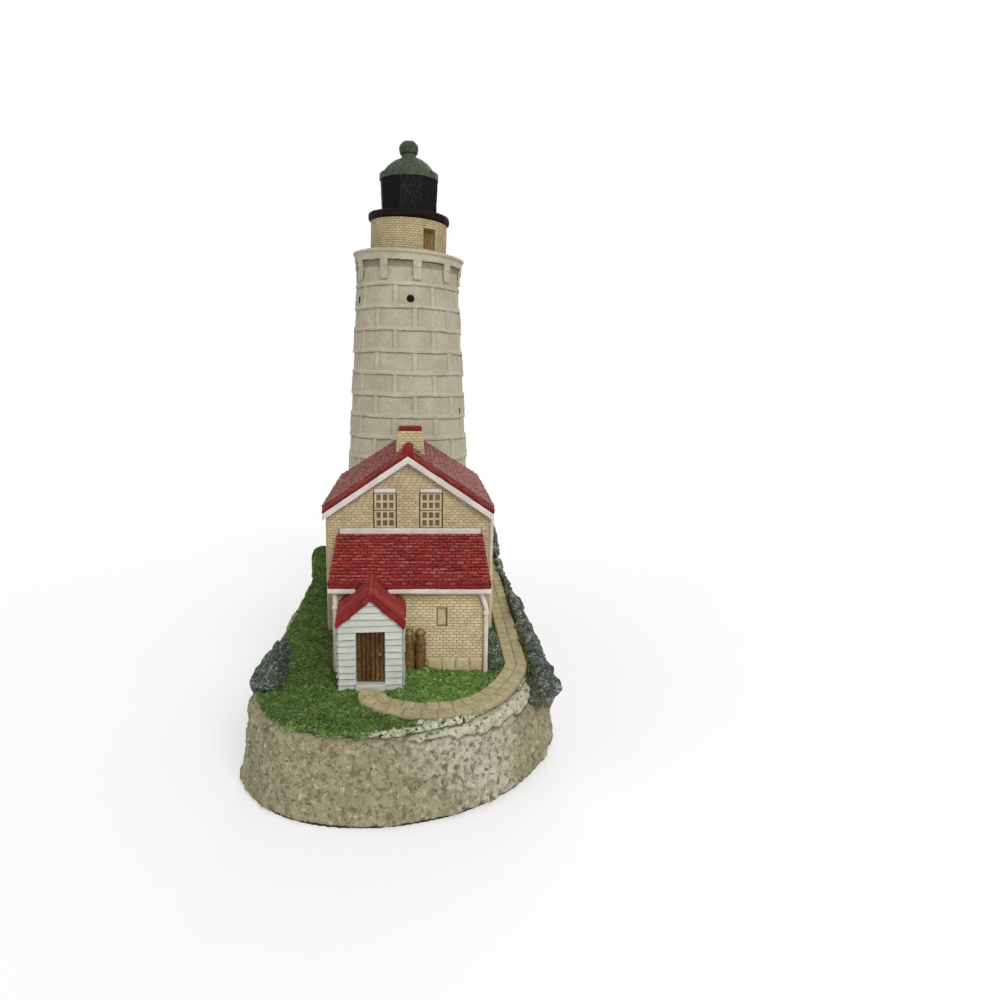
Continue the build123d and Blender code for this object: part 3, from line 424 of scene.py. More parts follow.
def seen_directly(tree):
    """1 for what the camera, a reflection or glass looks at, 0 for rays that carry light."""
    kind = add_node(tree, "LightPath", {}).outputs
    seen = reckon(tree, "MAXIMUM", kind["Is Camera Ray"], kind["Is Glossy Ray"])
    return reckon(tree, "MAXIMUM", seen, kind["Is Transmission Ray"])


pale = bpy.data.materials.new("pale_floor")
pale.use_nodes = True
tree = pale.node_tree
paper = tree.nodes["Principled BSDF"]
paper.inputs["Base Color"].default_value = (0.94, 0.94, 0.94, 1)
paper.inputs["Roughness"].default_value = 0.9
place = add_node(tree, "TexCoord", {}).outputs["Object"]
away = add_node(tree, "VectorMath", {0: place}, operation="LENGTH").outputs["Value"]
share = reckon(tree, "MULTIPLY", spread(tree, away, 0.06, 0.22, 0.4, 1.0), seen_directly(tree))
glow = add_node(tree, "Emission", {"Color": (1, 1, 1, 1), "Strength": 1.0}).outputs[0]
mixed = add_node(tree, "MixShader", {0: share, 1: paper.outputs[0], 2: glow}).outputs[0]
tree.links.new(mixed, tree.nodes["Material Output"].inputs["Surface"])
floor_mesh.materials.append(pale)
print("floor:", 2 * floor_half, "m wide")

# %% [markdown]
# The light is soft and comes from all round, a little stronger from the front right and above. A
# white world gives the even part, a large area lamp in front gives it direction, and two weaker
# ones lift the left side and the back.

# %% Light
world = bpy.data.worlds.new("studio")
bpy.context.scene.world = world
world.use_nodes = True
sky = world.node_tree
ambient = 0.5
strength = spread(sky, seen_directly(sky), 0.0, 1.0, ambient, 1.0)
sky.links.new(strength, sky.nodes["Background"].inputs["Strength"])
sky.nodes["Background"].inputs["Color"].default_value = (1, 1, 1, 1)
lamp_aim = Vector((0, 0, 0.06))


def lamp(name, place, size, power):
    """A square area lamp that looks at the middle of the ornament."""
    data = bpy.data.lights.new(name, "AREA")
    data.size = size
    data.energy = power
    made = bpy.data.objects.new(name, data)
    made.location = place
    made.rotation_euler = (lamp_aim - made.location).to_track_quat("-Z", "Y").to_euler()
    bpy.context.scene.collection.objects.link(made)


lamp("front_lamp", (0.3, -0.8, 0.7), 0.6, 7.2)
lamp("side_lamp", (-0.7, -0.35, 0.55), 0.6, 1.0)
lamp("back_lamp", (0.2, 0.9, 0.5), 0.6, 3.0)
print("lamps:", [light.name for light in bpy.data.lights])

# %% [markdown]
# ## Felt pad
# A thin dark felt is glued under the base and shows as a line along the foot. It is made as the CAD
# pad's own outline with a fuzzy edge, and it stays flat because it is glued on.

# %% Felt under the headland
felt_lo, felt_hi = room("felt_pad")
felt = recast("felt_pad", 0.3, 1, ((1.5, 0.05), (0.6, 0.04)), low=0.0)
felt.points[0][:, 2] = np.clip(felt.points[0][:, 2], felt_lo[2], felt_hi[2])
felt_piece = felt.fire("felt_sheet", "felt", [felt_dark], "felt_pad")

# %% [markdown]
# ## Cliff
# The headland is a rough rock face, tan on the left and chalky on the right, with small pits and
# lumps pressed into it. Sculpting it by hand would do, but noise in several sizes gives the same
# broken face all round. At the front right a bare shelf of chalk lies under the lawn's rim, with a
# crack along its lower edge. Its top rim takes the colour of what lies there: turf on the left and
# dark rock on the right. The points never leave the CAD box, so the base keeps its size.


# %% Ground levels
def step_up(value, edge, width):
    """0 before the edge and 1 after it, rounded over the width."""
    share = np.clip((value - edge) / width + 0.5, 0, 1)
    return share * share * (3 - 2 * share)


front_y = cad_box[0][1] / MM
lawn_front_z, lawn_rise = 15.4, math.tan(math.radians(5.2))


def lawn_height(y):
    """Height of the sloping lawn at depth y."""
    return lawn_front_z + (y - front_y) * lawn_rise


print("lawn rises to", round(lawn_height(-front_y), 1), "mm at the back")

# %% Rock face of the headland
cliff_lo, cliff_hi = room("cliff_base")
cliff_voxel = 0.36
shelf_places, shelf_drops = (-6.0, 6.0, 18.0, 28.0), (0.9, 2.2, 3.4, 4.6)
shelf_left, rim_front = -4.0, -38.0
points, edges, faces, normals = softened("cliff_base", cliff_voxel, 2)
broken = 0.6 * lumps(points, 9.0, 3) + 0.45 * lumps(points, 3.4, 4) + 0.45 * lumps(points, 1.2, 5)
ridged = 0.5 - np.abs(lumps(points * (1, 1, 0.55), 6.0, 6))
side = 1 - np.abs(normals[:, 2])
front_right = step_up(points[:, 0], shelf_left, 6.0) * (1 - step_up(points[:, 1], rim_front, 5.0))
under_rim = lawn_height(points[:, 1]) - points[:, 2] + 0.9 * lumps(points, 3.2, 10, 3)
shelf_drop = np.interp(points[:, 0], shelf_places, shelf_drops)
shelf = (1 - step_up(under_rim, shelf_drop, 0.5)) * front_right
crack = np.exp(-((under_rim - shelf_drop - 0.2) / 0.22) ** 2) * front_right
relief = (broken + 0.5 * ridged) * 0.8 + 0.15 * shelf - 0.35 * crack
points = points + normals * (relief * side)[:, None]
pits = np.clip(lumps(points * (1, 1, 0.7), 0.95, 7, 2) - 0.25, 0, 1) * (1 - shelf)
points = points - normals * (0.5 * pits * side)[:, None]
points[:, :2] = np.clip(points[:, :2], cliff_lo[:2], cliff_hi[:2])
points[:, 2] = np.maximum(points[:, 2], cliff_lo[2])
print("chalk shelf covers", round(100 * float(shelf.mean()), 1), "% of the rock's points")

# %% Paint of the rock face
chalk_middle, chalk_spread, chalk_right, chalk_back = 12.0, 18.0, 19.0, -20.0
rock_rim, turf_rim = 2.0, 1.0
found = curvature_masks(points, edges, faces, cliff_voxel, 1.8)
chalk = step_up(points[:, 0] + 0.9 * points[:, 2], chalk_middle, chalk_spread)
chalk *= (1 - step_up(points[:, 0], chalk_right, 9.0)) * (1 - step_up(points[:, 1], chalk_back, 25.0))
# Painted shade: the crack along the lower edge of the chalk shelf is darkened, besides the wash in the pits
# and hollows.
cliff = Clay()
cliff.add(
    points, faces, second=0.8 * chalk, high=0.35 * found["high"], tone=0.05 * lumps(points, 6.0, 9),
    low=np.clip(0.8 * found["low"] + 0.5 * pits + 0.7 * crack, 0, 1))
middles = points[faces].mean(1)
rim_drop = lawn_height(middles[:, 1]) - middles[:, 2] + 0.6 * lumps(middles, 1.2, 12)
on_right = middles[:, 0] > 0
rim_coat = np.where(on_right, 2, 3)
at_rim = (rim_drop < np.where(on_right, rock_rim, turf_rim)) & (middles[:, 1] > rim_front)
cliff.coats = np.where(at_rim, rim_coat, shelf[faces].mean(1) > 0.5).tolist()
cliff.fire("cliff_rock", "cliff", [cliff_tan, ledge_chalk, rock_grey, turf_green], "cliff_base")

# %% [markdown]
# ## Lawn
# The lawn is stippled while the master is soft, so it is all small tufts, and its rim hangs over
# the cliff in a ragged line. The recast solid gets a fine stipple on its top and a coarser
# unevenness along its rim. A chalky strip lies bare along the rim at the front right, the paint
# wears thin under the rim, and the turf is heaped up round the feet of the two posts. Beside the
# house's left wall it swells to a hump that leans out over the cliff.

# %% Stippled turf
post_heap, post_reach = 1.5, 2.2
hump_place, hump_reach = np.array((-20.5, 20.0)), np.array((5.5, 9.0))
hump_height, hump_out, hump_lean = 3.7, 4.4, 4.0
lawn_voxel, top_facing = 0.34, 0.4
points, edges, faces, normals = softened("lawn", lawn_voxel, 1)
tufts = 0.36 * lumps(points, 0.9, 21, 2) + 0.28 * lumps(points, 3.2, 22)
side = np.clip(1 - normals[:, 2], 0, 1)
points = points + normals * (tufts + 0.3 * side * lumps(points, 2.2, 23))[:, None]
post_feet = [np.mean(room(post), axis=0)[:2] for post in ("bollard_left", "bollard_right")]
from_post = np.min([np.linalg.norm(points[:, :2] - foot, axis=1) for foot in post_feet], axis=0)
heaped = post_heap * np.exp(-(from_post / post_reach) ** 2)
hump = np.exp(-(((points[:, :2] - hump_place) / hump_reach) ** 2).sum(1))
points[:, 2] += (heaped + hump_height * hump) * (normals[:, 2] > top_facing)
points[:, 0] -= hump_out * hump * step_up(-points[:, 0], -hump_place[0], hump_lean)
print("turf reaches", round(float(points[:, 2].max()), 1), "mm")

# %% Paint of the turf
lawn_lo, lawn_hi = room("lawn")
nose_x, nose_depth = -8.0, 40.0
sunny_place, sunny_reach = np.array((7.0, -47.0)), 9.0
ledge_places, ledge_widths = (-8.0, 0.0, 10.0, 22.0), (0.0, 1.2, 2.0, 4.6)
ledge_back = -43.0
found = curvature_masks(points, edges, faces, lawn_voxel, 2.2)
centre_y = front_y + nose_depth
reach = np.hypot(
    (points[:, 0] - nose_x) / (lawn_hi[0] - nose_x), (points[:, 1] - centre_y) / (centre_y - lawn_lo[1]))
from_rim = (1 - reach) * (lawn_hi[0] - nose_x)
ledge_width = np.interp(points[:, 0], ledge_places, ledge_widths)
ledge = step_up(ledge_width - from_rim + 0.9 * lumps(points, 1.6, 24), 0.0, 1.2)
ledge *= (1 - step_up(points[:, 1], ledge_back, 2.5)) * (ledge_width > 0)
below_top = lawn_height(points[:, 1]) - points[:, 2]
# Painted shadow: on the right, the side of the lawn's rim from 0.8 mm below its top is darkened, under the
# overhang.
under = side * (points[:, 0] > 0) * (below_top > 0.8)
bare_rim = 0.6 * step_up(below_top, 0.75, 0.7) * step_up(side, 0.45, 0.4)
sunny = np.exp(-(np.linalg.norm(points[:, :2] - sunny_place, axis=1) / sunny_reach) ** 2)
lawn = Clay()
lawn.add(
    points, faces, second=np.maximum(ledge, bare_rim), tone=0.09 * lumps(points, 5.0, 25) + 0.8 * sunny,
    high=np.clip(0.7 * found["high"] + 0.15 * side, 0, 1), low=np.clip(found["low"] + 0.7 * under, 0, 1))
lawn.fire("lawn_turf", "turf", [turf_green], "lawn")

# %% [markdown]
# ## Footpath
# Tan pavers lead from the step round the corner of the house to the tower. They follow a line of two
# arcs and a straight run. Instead of one block for each paver, the path is one strip of points whose
# height drops in the joints, so that the stones bend with the line.

# %% Line of the path
path_hi = room("footpath")[1]
step_front = room("porch_step")[0][1]
path_width, path_rise, path_gap, path_sag, path_bend = 4.6, 0.25, 2.2, 6.2, 10.0
path_lead, lead_lift = 2.1, 0.4
porch_wide = np.ptp([corner[0] for corner in room("porch_walls")])
porch_x = np.mean([corner[0] for corner in room("porch_walls")])
path_side_x = path_hi[0] - path_width / 2


def arc(start, centre, sweep, count=200):
    """Points on a circle from the start, turned about the centre by the sweep in radians."""
    turn = np.linspace(0, sweep, count)[:, None]
    from_centre = start - centre
    across = np.array((-from_centre[1], from_centre[0]))
    return centre + np.cos(turn) * from_centre + np.sin(turn) * across


def turn_between(start, end, centre):
    """Angle in radians from the start to the end, anticlockwise about the centre."""
    first, last = [np.arctan2(point[1] - centre[1], point[0] - centre[0]) for point in (start, end)]
    return (last - first) % (2 * math.pi)


def centre_through(first, second, third):
    """Centre of the circle through three points."""
    rows = 2 * np.array((second - first, third - first))
    return np.linalg.solve(rows, np.array((second @ second - first @ first, third @ third - first @ first)))


path_start = np.array((porch_x, step_front - path_gap))
path_low = np.array((porch_x + porch_wide, step_front - path_sag))
path_turn = np.array((path_side_x - path_bend / 2, step_front))
path_side = np.array((path_side_x, step_front + path_bend))
centre = centre_through(path_start, path_low, path_turn)
front_arc = arc(path_start, centre, turn_between(path_start, path_turn, centre))
inward = (centre - path_turn) / np.linalg.norm(centre - path_turn)
chord = path_side - path_turn
corner_centre = path_turn + inward * (chord @ chord) / (2 * inward @ chord)
corner_arc = arc(path_turn, corner_centre, turn_between(path_turn, path_side, corner_centre))
straight = np.stack([np.full(200, path_side_x), np.linspace(path_side[1], path_hi[1], 200)], 1)
line = np.concatenate([path_start[None] - (path_lead, 0), front_arc, corner_arc[1:], straight[1:]])
run = np.concatenate(([0], np.cumsum(np.linalg.norm(np.diff(line, axis=0), axis=1))))
print("path length:", round(float(run[-1]), 1), "mm")

# %% Stones and joints of the path
rng = np.random.default_rng(5)
stone_lengths, stone_tones, joint_depth, joint_width, edge_depth = (2.1, 3.2), 0.1, 0.24, 0.12, 0.6
path_step, path_columns = 0.18, 27
along_path = np.arange(0, run[-1], path_step)
across_path = np.linspace(-1, 1, path_columns)
middle = np.stack([np.interp(along_path, run, line[:, axis]) for axis in (0, 1)], 1)
heading = np.gradient(middle, axis=0)
heading /= np.linalg.norm(heading, axis=1, keepdims=True)
to_right = np.stack([heading[:, 1], -heading[:, 0]], 1)
along, across = [grid.ravel() for grid in np.meshgrid(along_path, across_path, indexing="ij")]
half = path_width / 2 * np.sqrt(1 - np.clip(1 - along / (path_width / 2), 0, 0.98) ** 4)
offset = across * half
plan = np.repeat(middle, len(across_path), 0) + np.repeat(to_right, len(across_path), 0) * offset[:, None]
row = (offset + 0.15 * lumps(np.stack([along, offset, offset], 1), 3.0, 51) > 0).astype(int)
joint = np.minimum(np.abs(offset), np.maximum(half - np.abs(offset), 0))
tone = np.zeros(len(along))
for number in (0, 1):
    ends = np.cumsum(rng.uniform(*stone_lengths, 60)) - 1.2 * number
    mine = row == number
    stone = np.searchsorted(ends, along[mine])
    nearest = np.abs(along[mine][:, None] - ends[None, :]).min(1)
    joint[mine] = np.minimum(joint[mine], nearest)
    tone[mine] = rng.uniform(-stone_tones, stone_tones, 61)[stone]
groove = np.exp(-(joint / joint_width) ** 2)
print("points of the path:", len(plan))

# %% Pavers
flat_plan = np.stack([plan[:, 0], plan[:, 1], np.zeros(len(plan))], 1)
rise = path_rise + 0.06 + 0.5 * tone + 0.06 * lumps(flat_plan, 0.8, 52) - joint_depth * groove
rise += lead_lift * (1 - step_up(along, path_lead + path_gap, path_gap))
rise = np.where(np.abs(across) > 0.99, -edge_depth, rise)
paved = Clay()
rows, columns = len(along_path), len(across_path)
first = (np.arange(rows - 1)[:, None] * columns + np.arange(columns - 1)).ravel()
paved.add(
    np.stack([plan[:, 0], plan[:, 1], lawn_height(plan[:, 1]) + rise], 1),
    np.stack([first, first + 1, first + columns + 1, first + columns], 1),
    tone=tone, low=0.55 * groove, high=np.clip(0.35 * lumps(flat_plan, 1.5, 53), 0, 1))
paved.fire("path_pavers", "path", [paver_tan], "footpath")

# %% [markdown]
# ## Boulders and shrub
# Dark boulders stand along the edge, and their rough tops are dabbed with white. Creases between
# the lobes make them craggy. The row on the right has an olive strip of turf on the path's side,
# and the shrub by the house corner is a clump of the same stipple. All start from the CAD stones,
# so they stay where the solid ones are.

# %% Boulders along the edge
rock_voxel = 0.24
strip_x = path_hi[0] + 1.0
# For each row: how strongly it is dabbed, and how far its foot and its top swell and it grows upwards
rock_rows = {
    "left_boulders": (0.45, 0.4, -1.6, 2.2),
    "right_boulders": (0.75, 1.2, 0.5, 0.4),
    "back_boulders": (0.8, 0.2, 0.0, 0.0)}
for row, (dabbed, swell_foot, swell_top, growth) in rock_rows.items():
    points, edges, faces, normals = softened(row, rock_voxel, 4)
    crease = np.abs(lumps(points, 2.6, 31, 2))
    crag = 0.4 * lumps(points, 3.4, 32, 2) + 0.9 * (0.25 - crease) + 0.2 * lumps(points, 0.7, 33, 2)
    points = points + normals * (crag + 0.2)[:, None]
    found = curvature_masks(points, edges, faces, rock_voxel, 1.8)
    below = np.clip(lawn_height(points[:, 1]) - 0.4 - points[:, 2], 0, None)
    aside = np.sign(points[:, 0])
    outer = step_up(np.abs(points[:, 0]) - strip_x, 1.2, 3.0)
    upper = step_up(points[:, 2] - lawn_height(points[:, 1]), 2.0, 4.0)
    points[:, 0] += aside * ((swell_foot * (1 - upper) + swell_top * upper) * outer - 0.45 * below)
    points[:, 2] += growth * upper * (1 - 0.6 * outer)
    points[:, :2] = np.clip(points[:, :2], cliff_lo[:2], cliff_hi[:2])
    strip = step_up(strip_x - points[:, 0], 0.0, 0.8) * (points[:, 0] > 0)
    # Painted shade: the rocks on the right are toned darker, to take back the light of the front lamp on
    # that side.
    rocks = Clay()
    rocks.add(
        points, faces, second=np.clip(strip + step_up(below, 0.6, 1.0), 0, 1),
        high=dabbed * np.clip(found["high"] + 0.5 * step_up(lumps(points, 0.8, 34, 2), 0.3, 0.3), 0, 1),
        low=0.8 * found["low"], tone=-0.12 * (aside > 0))
    rocks.fire(row.replace("boulders", "rocks"), "rock", [rock_grey], row)

shrub = recast("corner_shrub", 0.12, 2, ((0.9, 0.22), (0.35, 0.14)), 2.5)
shrub.fire("shrub_clump", "shrub", [shrub_green], "corner_shrub")

# %% [markdown]
# ## Tower shaft
# The shaft tapers, and thirteen hoops and staggered straps make it look built of plates. A grid of
# points round the axis follows the same taper, with the hoops' lower edges crisp and their upper
# edges soft, so each hoop throws a thin shadow. A thin line of painted shadow under each hoop and
# beside each strap deepens it. Portholes and the slit are sunk into the grid.

# %% Hoops and straps
shaft_lo, shaft_hi = room("tower_shaft")
tower_x, tower_y = (shaft_lo[:2] + shaft_hi[:2]) / 2
foot_z, shaft_top_z = shaft_lo[2], 102.6
foot_radius = (shaft_hi[0] - shaft_lo[0]) / 2
top_radius = 14.3
hoop_count, hoop_pitch, hoop_height, hoop_relief = 13, 5.94, 1.15, 0.36
top_hoop_z = 98.0
strap_count, strap_start, strap_width = 9, -12.0, 1.25
hole_z, hole_radius, hole_depth, hole_count, hole_start = 94.6, 1.16, 0.5, 5, 3.7
dip_heights = (16, 60, 92, 98, 106, 120, 129, 134)
dip_slopes = (0.0, 0.022, 0.028, 0.04, 0.075, 0.07, 0.03, 0.0)
lean_heights, lean_shifts = (98, 116), (0.0, 0.4)
# The shaft's tone runs from a little lighter at 55 mm to a little darker at 95 mm.
tone_heights, tone_steps = (55, 95), (0.04, -0.06)


def dip(points):
    """The hand-set bands of the tower hang a little lower on the right, and its top leans there."""
    slope = np.interp(points[:, 2], dip_heights, dip_slopes)
    moved = points.copy()
    moved[:, 2] -= slope * (points[:, 0] - tower_x)
    moved[:, 0] += np.interp(points[:, 2], lean_heights, lean_shifts)
    return moved


def around(angles, radius, heights):
    """Points about the tower's axis; angles are degrees to the right of the viewer."""
    turn = np.radians(angles)
    return np.stack([tower_x + radius * np.sin(turn), tower_y - radius * np.cos(turn), heights], -1)


def ring_faces(rows, columns):
    """Quads between the rows of points of a closed ring."""
    row, column = np.meshgrid(np.arange(rows - 1), np.arange(columns), indexing="ij")
    after = (column + 1) % columns
    start, above = row * columns, (row + 1) * columns
    return np.stack([start + column, start + after, above + after, above + column], -1).reshape(-1, 4)


print("hoops:", hoop_count, "every", hoop_pitch, "mm, straps:", strap_count, "in each course")

# %% Points of the shaft
level_step, angle_step, shaft_hidden = 0.33, 0.6, 2.0
levels = [np.arange(foot_z, shaft_top_z + shaft_hidden, level_step)]
for number in range(hoop_count):
    hoop_z = top_hoop_z - number * hoop_pitch
    levels.append(hoop_z + np.array((-0.12, -0.06, 0.0, 0.06, 0.12)))
    levels.append(hoop_z + hoop_height + np.array((-0.15, -0.05, 0.05, 0.15)))
levels = np.unique(np.round(np.concatenate(levels), 3))
angles = np.arange(0, 360, angle_step)
height, angle = [grid.ravel() for grid in np.meshgrid(levels, angles, indexing="ij")]
taper = (foot_radius - top_radius) / (shaft_top_z - foot_z)
cone = foot_radius - taper * (height - foot_z)
plain = around(angle, cone, height)
wavy = height + 0.16 * lumps(plain, 7.0, 41, 2) + 0.06 * lumps(plain, 1.1, 46, 2)
course = np.floor((top_hoop_z - wavy) / hoop_pitch)
above_hoop = (wavy - top_hoop_z) % hoop_pitch
hoop = step_up(above_hoop, 0.06, 0.12) * (1 - step_up(above_hoop, hoop_height, 0.3))
strap_pitch = 360 / strap_count
strap_shift = np.where(course % 2 == 0, 0.0, strap_pitch / 2)
off = (angle - strap_start - strap_shift + strap_pitch / 2) % strap_pitch - strap_pitch / 2
off = np.abs(np.radians(off) * cone) + 0.1 * lumps(plain, 2.0, 42, 2)
strap = 1 - step_up(off, strap_width / 2, 0.22)
raised = np.maximum(hoop, strap * (wavy < top_hoop_z))
rough = 0.07 * lumps(plain, 4.0, 43) + 0.08 * lumps(plain, 0.7, 44, 2)
shaft_radius = cone + hoop_relief * (raised - 0.05) + rough
# Painted shadow: a thin dark line under each hoop, broken at the straps and by noise, and a fainter one
# beside each strap.
hoop_shadow = np.exp(-((above_hoop - hoop_pitch + 0.1) / 0.12) ** 2) * (1 - strap)
hoop_shadow *= np.clip(0.75 + 0.5 * lumps(plain, 2.5, 47, 2), 0, 1)
strap_shadow = np.exp(-((off - strap_width / 2 - 0.16) / 0.14) ** 2) * (1 - hoop) * (wavy < top_hoop_z)
print("points of the shaft:", len(plain))

# %% Sunk openings
slit_lo, slit_hi = room("shaft_window")
slit_half_wide, slit_half_high, slit_depth = 0.85, 1.3, 0.6
openings = [
    (hole_start + number * 360 / hole_count, hole_z, hole_radius, hole_radius, hole_depth)
    for number in range(hole_count)]
slit_x, slit_y, slit_z = (slit_lo + slit_hi) / 2
slit_angle = math.degrees(math.atan2(slit_x - tower_x, tower_y - slit_y))
openings.append((slit_angle, slit_z, slit_half_wide, slit_half_high, slit_depth))
for centre, centre_z, half_wide, half_high, depth in openings:
    across = np.radians((angle - centre + 180) % 360 - 180) * cone
    reach = np.hypot(across / half_wide, (height - centre_z) / half_high)
    edge = np.abs(reach - 1) < 0.1
    angle = np.where(edge, centre + np.degrees(across / reach.clip(0.5) / cone), angle)
    height = np.where(edge, centre_z + (height - centre_z) / reach.clip(0.5), height)
    shaft_radius = np.where(reach < 0.9, cone - depth - 0.1, shaft_radius)
print("openings sunk:", len(openings))

# %% Plates of the tower
shaft = Clay()
shaft_points = dip(around(angle, shaft_radius, height))
# Painted shade: besides the hoop and strap lines, the low mask darkens the top of the shaft where it goes up
# under the gallery.
shaft.add(
    shaft_points, ring_faces(len(levels), len(angles)),
    high=0.34 * raised + 0.1 * lumps(shaft_points, 3.0, 45),
    tone=np.interp(height, tone_heights, tone_steps),
    low=np.clip(0.75 * hoop_shadow + 0.22 * strap_shadow + 0.6 * step_up(height, shaft_top_z + 0.3, 0.4), 0, 1))
for row, order in ((0, -1), (len(levels) - 1, 1)):
    rim = (row * len(angles) + np.arange(len(angles)))[::order]
    shaft.faces.append(rim.tolist())
    shaft.coats.append(0)
    shaft.soft.append(False)
shaft.fire("tower_plates", "tower_white", [tower_cream], "tower_shaft")

# %% [markdown]
# ## Openings, gallery and lamp room
# The portholes and the slit are plain black insets. The gallery on its two-step brackets, the deck,
# the lamp room, the dome and the ball vent are turned or cast forms, so the CAD solids give their
# shapes, softened and dipped with the rest of the tower.

# %% Upper works of the tower
for node, voxel, name in (("portholes", 0.12, "porthole_insets"), ("shaft_window", 0.1, "slit_inset")):
    recast(node, voxel, 1, (), bend=dip).fire(name, "lantern_black", [lamp_black], node)
gallery = recast("tower_gallery", 0.17, 2, ((5.0, 0.1), (1.4, 0.09), (0.5, 0.04)), 2.2)
ring = gallery.points[0]
from_axis = np.hypot(ring[:, 0] - tower_x, ring[:, 1] - tower_y)
soffit_z, lip_z = shaft_top_z + 2.1, room("tower_gallery")[1][2] - 2.0
# Painted shade: the recesses between the brackets under the gallery and a thin line under its lip are
# darkened.
bracket_shade = (from_axis < top_radius + 0.45) & (ring[:, 2] > shaft_top_z + 0.2) & (ring[:, 2] < soffit_z + 0.1)
groove = (from_axis > top_radius + 0.9) * np.exp(-((ring[:, 2] - lip_z + 0.1) / 0.16) ** 2)
gallery.masks["low"][0] = np.clip(gallery.masks["low"][0] + 0.6 * bracket_shade + 0.6 * groove, 0, 1)
gallery.points[0] = dip(ring)
gallery.fire("gallery_casting", "tower_white", [tower_cream], "tower_gallery")
deck = recast("lantern_deck", 0.15, 2, ((3.0, 0.08), (1.0, 0.06)), 1.4, dip)
deck.fire("deck_casting", "lantern_black", [deck_black], "lantern_deck")

# %% Lamp room, dome and vent
lantern = recast("lantern_room", 0.13, 2, ((2.5, 0.05), (0.6, 0.03)), 0.8)
# Painted highlight: only the facet that faces the front gets pale specks of the brush colour.
facing = point_normals(lantern.points[0], np.array(lantern.faces))
lantern.masks["high"][0] = np.clip(
    (facing[:, 1] < -0.9) * (0.26 + 0.4 * lumps(lantern.points[0], 0.22, 62, 1)), 0, 1)
lantern.points[0] = dip(lantern.points[0])
lantern.fire("lamp_house", "lantern_black", [lamp_black], "lantern_room")
dome = recast("lantern_dome", 0.13, 2, ((2.6, 0.1), (0.8, 0.06), (0.35, 0.03)), 2.2, dip)
dome.fire("dome_casting", "dome_green", [dome_green], "lantern_dome")
vent_lo, vent_hi = room("ball_vent")
vent_neck, vent_bulge = 1.2, 0.22
vent = recast("ball_vent", 0.1, 2, ((1.4, 0.08), (0.45, 0.06)), 2.2)
ball = vent.points[0]
crown = np.clip((ball[:, 2] - (vent_lo[2] + vent_neck)) / (vent_hi[2] - vent_lo[2] - vent_neck), 0, 1)
girth = 1 + vent_bulge * crown * (1 - crown)
ball[:, :2] = (tower_x, tower_y) + (ball[:, :2] - (tower_x, tower_y)) * girth[:, None]
ball[:, 2] = np.minimum(ball[:, 2], vent_hi[2] - 0.35 + 0.3 * lumps(ball, 1.2, 61))
ball[:, 2] = np.minimum(ball[:, 2], vent_hi[2])
vent.points[0] = dip(ball)
vent.masks["tone"][0] = np.full(len(ball), -0.1)
vent.fire("vent_ball", "dome_green", [dome_green], "ball_vent")

# %% [markdown]
# ## Laying bricks, shingles and boards
# Brick, shingle and clapboard are all rows of small blocks on a flat face. Each block is a closed
# eight-cornered stone, a little smaller at its face than at its foot. A shingle or a board stands
# further out at its lower edge. The helper cuts each row to the spans that are free of openings.


# %% Blocks on a face
block_sink = 0.06
block_sides = np.array([(0, 1, 5, 4), (1, 2, 6, 5), (2, 3, 7, 6), (3, 0, 4, 7), (4, 5, 6, 7), (3, 2, 1, 0)])


def flat(corner, along, up):
    """Places a block's points on a flat face: along it, up it and out of it."""
    axes = np.stack([along, up, np.cross(along, up)]).astype(float)
    axes /= np.linalg.norm(axes, axis=1, keepdims=True)
    return lambda local: np.asarray(corner, float) + local @ axes


def blocks(clay, place, cells, proud, bevel, rng, coat=0, ragged=0.03, tones=0.1, brushed=(0.0, 0.0),
           washed=1.0, tint=0.0):
    """Closed blocks; cells are (u0, u1, v0, v1), proud and brushed are for the lower and upper edge."""
    cells = np.asarray(cells, float)
    u = cells[:, [0, 1, 1, 0]]
    v = cells[:, [2, 2, 3, 3]]
    inner_u = u + bevel * np.array((1, -1, -1, 1))
    inner_v = v + bevel * np.array((1, 1, -1, -1))
    lift = np.repeat(proud, 2) * rng.uniform(0.8, 1.2, (len(cells), 1))
    local = np.concatenate([
        np.stack([u, v, np.full_like(u, -block_sink)], -1),
        np.stack([inner_u, inner_v, lift], -1)], 1)
    local += rng.uniform(-ragged, ragged, local.shape) * (1, 1, 0.4)
    local[:, :4, 2] = -block_sink
    faces = (np.arange(len(cells))[:, None, None] * 8 + block_sides).reshape(-1, 4)
    clay.add(
        place(local.reshape(-1, 3)), faces, coat, False,
        tone=np.repeat(tint + rng.uniform(-tones, tones, len(cells)), 8),
        low=np.tile([washed] * 4 + [0.0] * 4, len(cells)),
        high=np.outer(rng.uniform(0.4, 1.4, len(cells)), [0.0] * 4 + list(np.repeat(brushed, 2))).ravel())


print("sides of a block:", len(block_sides))


# %% Courses of blocks
def upright(edges, joint, foot, head):
    """Cells side by side between the edges, a joint apart, from the foot to the head."""
    return [(left + joint / 2, right - joint / 2, foot, head) for left, right in zip(edges, edges[1:])]


def courses(height, course, length, joint, spans, rng):
    """Cells of a running bond: rows of the given course, cut to the spans that each row has."""
    cells = []
    rows = max(1, round(height / course))
    course = height / rows
    for row in range(rows):
        v0, v1 = row * course + joint / 2, (row + 1) * course - joint / 2
        for start, end in spans((v0 + v1) / 2):
            if length is None:
                cells.append((start, end, v0, v1))
                continue
            stagger = length * (0.5 * (row % 2) + rng.uniform(0, 0.12))
            joints = np.arange(start - stagger, end + length, length)
            joints = joints + rng.uniform(-0.1, 0.1, len(joints)) * length
            inner = joints[(joints > start + 0.3 * length) & (joints < end - 0.3 * length)]
            edges = np.concatenate(([start], inner, [end]))
            cells += upright(edges, joint, v0, v1)
    return cells


